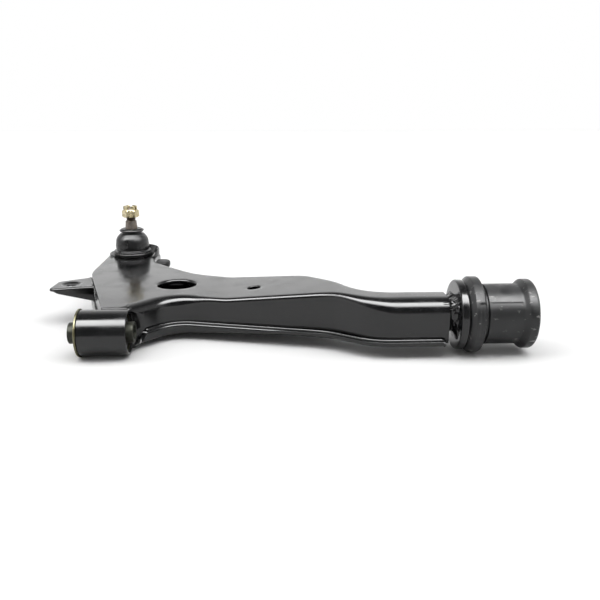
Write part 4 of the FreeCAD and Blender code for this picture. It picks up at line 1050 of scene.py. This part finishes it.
class ARM_OT_ball_joint(bpy.types.Operator):
    """Turns the stud with its thread, moulds the boot in two halves and rolls the clip rings"""
    bl_idname = "control_arm.ball_joint"
    bl_label = "Ball joint"

    def execute(self, context):
        sizes = context.scene.arm_sizes
        self.stud(sizes)
        self.boot(sizes)
        self.clip("lower_clip", "boot_lower_ring", "arm")
        self.clip("upper_clip", "boot_upper_ring", "stud_carrier")
        return {"FINISHED"}

    def stud(self, sizes):
        ball_radius = half_width("ball_stud")
        ball_z = STUD_LOW.z + ball_radius
        neck, shank, taper, thread = 6 * MM, 7.4 * MM, 8 * MM, 6 * MM
        neck_angle = math.asin(neck / ball_radius)
        steps = 24
        ball = []
        for index in range(steps + 1):
            angle = math.pi - (math.pi - neck_angle) * index / steps
            ball.append(Vector((ball_z + ball_radius * math.cos(angle),
                                ball_radius * math.sin(angle))))
        thread_start, top = 68.3 * MM, STUD_HIGH.z
        stem = rounded_path([
            (ball[-1].x, neck, None), (16 * MM, neck, 4 * MM), (30 * MM, shank, 8 * MM),
            (56.5 * MM, shank, 0.3 * MM), (57 * MM, taper, 0.3 * MM),
            (67.5 * MM, 7 * MM, 0.3 * MM), (thread_start, thread - 0.5 * MM, None)],
            closed=False, step=2 * MM)
        turns = round((top - thread_start) / (sizes.thread_pitch / 8))
        run = [Vector((thread_start + (top - thread_start) * index / turns, thread))
               for index in range(1, turns)]
        profile = ball + stem[1:] + run + [Vector((top, thread - 1.2 * MM)), Vector((top, 0))]
        profile[0].y = 0.0

        thread_depth, chamfer = 0.65 * MM, 1.2 * MM

        def radius_at(place, radius, angle):
            if place <= thread_start or radius < thread - 1 * MM:
                return radius
            wave = abs(((place / sizes.thread_pitch) - angle / math.tau) % 1.0 - 0.5) * 2
            size = radius - thread_depth * wave
            return min(size, thread - max(0.0, place - (top - chamfer)))

        bm = bmesh.new()
        turned(bm, profile, BALL_CENTRE, along_x=False, segments=72,
               closed=False, radius_at=radius_at)
        finish_piece("threaded_stud", bm, "stud_steel", "stud", ["ball_stud"], sharp=50)

    def boot(self, sizes):
        base, top = BOOT_LOW.z, BOOT_HIGH.z
        inner = half_width("ball_joint_housing") - 0.7 * MM
        bead, waist, dome = half_width("dust_boot"), 21.3 * MM, 21.8 * MM
        split = 41 * MM
        outside = rounded_path([
            (base, bead, 0.8 * MM), (24.5 * MM, bead, 0.3 * MM), (24.5 * MM, 23.2 * MM, 0.3 * MM),
            (26.7 * MM, 23.2 * MM, 0.3 * MM), (26.7 * MM, bead, 0.3 * MM),
            (28.6 * MM, bead - 0.2 * MM, 1.0 * MM), (29.8 * MM, waist, 0.6 * MM),
            (34 * MM, dome, 14 * MM), (45 * MM, 20.6 * MM, 12 * MM), (50.6 * MM, 15.4 * MM, 4 * MM),
            (51.8 * MM, 12.9 * MM, 0.6 * MM), (53 * MM, 13.2 * MM, 0.5 * MM),
            (53.6 * MM, 15 * MM, 0.5 * MM), (54.1 * MM, 15 * MM, None),
            (54.2 * MM, 13.9 * MM, 0.2 * MM), (56.2 * MM, 13.9 * MM, 0.2 * MM),
            (56.3 * MM, 14.4 * MM, 0.3 * MM), (top, 12.6 * MM, 0.8 * MM),
            (top - 1 * MM, 7.5 * MM, None)], closed=False, step=1.2 * MM)
        outside[0].y = inner
        outside.insert(1, Vector((base, bead - 0.8 * MM)))
        lower = [point for point in outside if point.x <= split]
        upper = [point for point in outside if point.x > split]
        by_height = sorted(outside, key=lambda point: point.x)
        seam = Vector((split, height_along(by_height, split)))
        above_bead = 29.5 * MM
        self.half("boot_skirt", lower + [seam], "arm", "boot", above_bead, split,
                  ["dust_boot"], sizes)
        self.half("boot_crown", [seam] + upper, "boot", "stud_carrier", split, 51 * MM, [], sizes)

    def half(self, name, profile, first, second, start, end, nodes, sizes):
        bm = bmesh.new()
        pucker_at, pucker_width, pucker_share, puckers = 49.5 * MM, 1.4 * MM, 0.012, 5
        wave_from, wave_to, wave_size = 31 * MM, 52 * MM, 0.18 * MM

        def radius_at(place, radius, angle):
            near = math.exp(-((place - pucker_at) / pucker_width) ** 2)
            size = radius * (1 + pucker_share * near * math.sin(angle * puckers))
            if wave_from < place < wave_to:
                spot = Vector((math.cos(angle), math.sin(angle), place * 90))
                size += wave_size * noise.noise(spot * 1.6)
            return size

        turned(bm, profile, BALL_CENTRE, along_x=False,
               segments=sizes.segments, closed=False, radius_at=radius_at)
        piece = finish_piece(name, bm, "boot_rubber", nodes=nodes, sharp=50)
        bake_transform(piece)

    def clip(self, name, node, body):
        low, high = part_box(node)
        wire = (high.z - low.z) / 2
        radius = (high.x - low.x) / 2 - wire
        level = (low.z + high.z) / 2
        bm = bmesh.new()
        steps = 16
        section = [Vector((level + wire * math.sin(math.tau * step / steps),
                           radius + wire * math.cos(math.tau * step / steps)))
                   for step in range(steps)]
        turned(bm, section, BALL_CENTRE, along_x=False, segments=96)
        finish_piece(name, bm, "ring_steel", body, [node], sharp=180)


class ARM_OT_castle_nut(bpy.types.Operator):
    """Builds the slotted hexagon nut with bevelled corners"""
    bl_idname = "control_arm.castle_nut"
    bl_label = "Castle nut"

    def execute(self, context):
        flats, turn, slot_turn = 19 * MM, math.radians(10), math.radians(30)
        crown_radius, crown_height = 8.9 * MM, 5.2 * MM
        bore, slot_half = 6 * MM, 1.7 * MM
        bottom, top = NUT_LOW.z, NUT_HIGH.z
        shoulder = top - crown_height
        sector = math.tau / 6
        corner = flats / 2 / math.cos(sector / 2)
        steps = 4

        def hexagon(angle):
            from_flat = (angle - turn) % sector - sector / 2
            return flats / 2 / math.cos(from_flat)

        rows = [
            (bore, bottom + 0.5 * MM), (bore + 0.5 * MM, bottom), (flats / 2 - 0.3 * MM, bottom),
            (flats / 2 + 0.3 * MM, bottom + 0.3 * MM), (corner, bottom + 1.1 * MM),
            (corner, shoulder - 1.3 * MM), (flats / 2 + 0.2 * MM, shoulder - 0.4 * MM),
            (flats / 2 - 0.4 * MM, shoulder), (crown_radius + 0.15 * MM, shoulder),
            (crown_radius, shoulder + 0.2 * MM), (crown_radius, top - 0.8 * MM),
            (crown_radius - 0.25 * MM, top - 0.25 * MM), (crown_radius - 0.8 * MM, top),
            (bore + 0.6 * MM, top), (bore, top - 0.6 * MM)]
        bm = bmesh.new()
        rings = []
        for radius, level in rows:
            opening = math.asin(slot_half / radius)
            points = []
            for side in range(6):
                slot = slot_turn + sector * side
                vertex = slot + sector - (slot_turn - turn)
                floor = min(level, shoulder + 0.2 * MM)
                spans = [(slot - opening, slot + opening, floor),
                         (slot + opening, vertex, level),
                         (vertex, slot + sector - opening, level)]
                for start, end, height in spans:
                    for step in range(steps + 1):
                        angle = start + (end - start) * step / steps
                        size = min(radius, hexagon(angle))
                        points.append((BALL_AXIS.x + size * math.cos(angle),
                                       BALL_AXIS.y + size * math.sin(angle), height))
            rings.append(add_ring(bm, points))
        join_rings(bm, rings, wrap_rings=True)
        bmesh.ops.remove_doubles(bm, verts=bm.verts, dist=0.005 * MM)
        finish_piece("plated_castle_nut", bm, "yellow_zinc", "stud", ["castle_nut"], sharp=28)
        return {"FINISHED"}


# ---------------------------------------------------------------- carried-over pieces

CARRIED = {
    "ball_joint_housing": "gloss_black_paint",
    "ball_joint_cover": "gloss_black_paint",
    "ball_seat": "seat_plastic",
    "leg_end_plate": "gloss_black_paint",
    "rear_spindle": "phosphated_steel",
    "rear_inner_sleeve": "phosphated_steel",
}


class ARM_OT_carried(bpy.types.Operator):
    """Gives the pieces that keep their shape a finish"""
    bl_idname = "control_arm.carried"
    bl_label = "Other pieces"

    def execute(self, context):
        for node, finish in CARRIED.items():
            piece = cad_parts[node]
            piece.data.materials.clear()
            piece.data.materials.append(materials()[finish])
        return {"FINISHED"}


# ---------------------------------------------------------------- stage

REFLECTED_BANDS = (
    (0, 0.30), (20, 0.14), (40, 0.12), (48, 0.25), (57, 17.0), (79, 20.0), (86, 0.4), (97, 0.22),
    (120, 0.28), (133, 0.8), (147, 1.15), (180, 1.40))
LIGHTING_BANDS = ((0, 0.3), (60, 0.35), (70, 2.8), (105, 2.8), (115, 0.4), (180, 0.7))


class ARM_OT_stage(bpy.types.Operator):
    """Sets the pale floor, the soft studio light and the camera"""
    bl_idname = "control_arm.stage"
    bl_label = "Stage"

    def execute(self, context):
        self.floor()
        self.sky(context.scene)
        self.camera(context.scene)
        context.scene.view_settings.view_transform = "Standard"
        return {"FINISHED"}

    def floor(self):
        size = 6.0
        level = CAD_BOX[0][2]
        bm = bmesh.new()
        corners = ((-size, -size), (size, -size), (size, size), (-size, size))
        bm.faces.new([bm.verts.new((*corner, level)) for corner in corners])
        mesh = bpy.data.meshes.new("floor")
        bm.to_mesh(mesh)
        bm.free()
        material, tree, shader = new_material("floor_paper")
        tone = spread(tree, texture(tree, "noise", 3, 2), 0.0, 1.0)
        tree.links.new(two_tone(tree, tone, (0.80, 0.80, 0.80), (0.82, 0.82, 0.82)),
                       shader.inputs["Base Color"])
        shader.inputs["Roughness"].default_value = 0.9
        mesh.materials.append(material)
        floor = bpy.data.objects.new("floor", mesh)
        bpy.context.scene.collection.objects.link(floor)

    def sky(self, scene):
        """Studio round the arm: dark in front, a softbox overhead and a pale backdrop behind."""
        world = bpy.data.worlds.new("studio")
        scene.world = world
        world.cycles.sampling_method = "NONE"
        world.use_nodes = True
        tree = world.node_tree
        height = self.angle_over_the_arm(tree)
        lit = self.bands(tree, height, LIGHTING_BANDS)
        reflected = self.fade_sideways(tree, self.bands(tree, height, REFLECTED_BANDS))
        path = tree.nodes.new("ShaderNodeLightPath")
        shiny = two_tone(tree, path.outputs["Is Glossy Ray"], lit, reflected)
        seen = two_tone(tree, path.outputs["Is Camera Ray"], shiny, (1, 1, 1))
        tree.links.new(seen, tree.nodes["Background"].inputs["Color"])

    def direction(self, tree):
        """The X, Y and Z of the direction a ray of light comes from."""
        place = tree.nodes.new("ShaderNodeTexCoord")
        parts = tree.nodes.new("ShaderNodeSeparateXYZ")
        tree.links.new(place.outputs["Generated"], parts.inputs["Vector"])
        return parts.outputs

    def angle_over_the_arm(self, tree):
        """0 at the near horizon, 0.5 overhead and 1 at the far horizon."""
        parts = self.direction(tree)
        towards = maths(tree, "MULTIPLY", parts["Y"], -1)
        return maths(tree, "DIVIDE", maths(tree, "ARCTAN2", parts["Z"], towards), math.pi)

    def fade_sideways(self, tree, colour):
        """The softbox is only as long as the arm: towards its ends the room is plain grey."""
        sideways = maths(tree, "ABSOLUTE", self.direction(tree)["X"])
        share = spread(tree, sideways, 0.0, 1.0, 0.62, 0.88)
        return two_tone(tree, share, colour, (0.9, 0.9, 0.9))

    def bands(self, tree, height, levels):
        """Brightness by height over the arm, from (degrees, brightness) pairs."""
        brightest = max(level for _, level in levels)
        ramp = tree.nodes.new("ShaderNodeValToRGB")
        tree.links.new(height, ramp.inputs["Fac"])
        elements = ramp.color_ramp.elements
        while len(elements) < len(levels):
            elements.new(0.5)
        for element, (degrees, level) in zip(elements, levels):
            element.position = degrees / 180
            element.color = (*[level / brightest] * 3, 1)
        scale = tree.nodes.new("ShaderNodeVectorMath")
        scale.operation = "SCALE"
        scale.inputs["Scale"].default_value = brightest
        tree.links.new(ramp.outputs["Color"], scale.inputs[0])
        return scale.outputs["Vector"]

    def camera(self, scene):
        data = bpy.data.cameras.new("camera")
        data.lens = 42.0
        data.sensor_width = 36.0
        camera = bpy.data.objects.new("camera", data)
        camera.location = (0.1608, -0.6573, 0.2129)
        camera.rotation_euler = (math.radians(74.5), 0, math.radians(-2.8))
        scene.collection.objects.link(camera)
        scene.camera = camera


# ---------------------------------------------------------------- panel and run

STEPS = (ARM_OT_stage, ARM_OT_upper_shell, ARM_OT_lower_shell, ARM_OT_welds, ARM_OT_tab,
         ARM_OT_stop, ARM_OT_front_bush, ARM_OT_rear_bush, ARM_OT_ball_joint,
         ARM_OT_castle_nut, ARM_OT_carried)


class ARM_PT_panel(bpy.types.Panel):
    """Lists the arm's pieces and settings"""
    bl_idname = "ARM_PT_panel"
    bl_label = "Control Arm"
    bl_space_type = "VIEW_3D"
    bl_region_type = "UI"
    bl_category = "Control Arm"

    def draw(self, context):
        for settings in (context.scene.arm_sizes, context.scene.arm_colours):
            for name in settings.__annotations__:
                self.layout.prop(settings, name)
        for step in STEPS:
            self.layout.operator(step.bl_idname)


CLASSES = (ArmSizes, ArmColours) + STEPS + (ARM_PT_panel,)


def register():
    for item in CLASSES:
        bpy.utils.register_class(item)
    bpy.types.Scene.arm_sizes = bpy.props.PointerProperty(type=ArmSizes)
    bpy.types.Scene.arm_colours = bpy.props.PointerProperty(type=ArmColours)


def unregister():
    del bpy.types.Scene.arm_colours
    del bpy.types.Scene.arm_sizes
    for item in reversed(CLASSES):
        bpy.utils.unregister_class(item)


def main():
    register()
    make = bpy.ops.control_arm
    make.stage()
    make.upper_shell()
    make.lower_shell()
    make.welds()
    make.tab()
    make.stop()
    make.front_bush()
    make.rear_bush()
    make.ball_joint()
    make.castle_nut()
    make.carried()


if __name__ == "__main__":
    main()
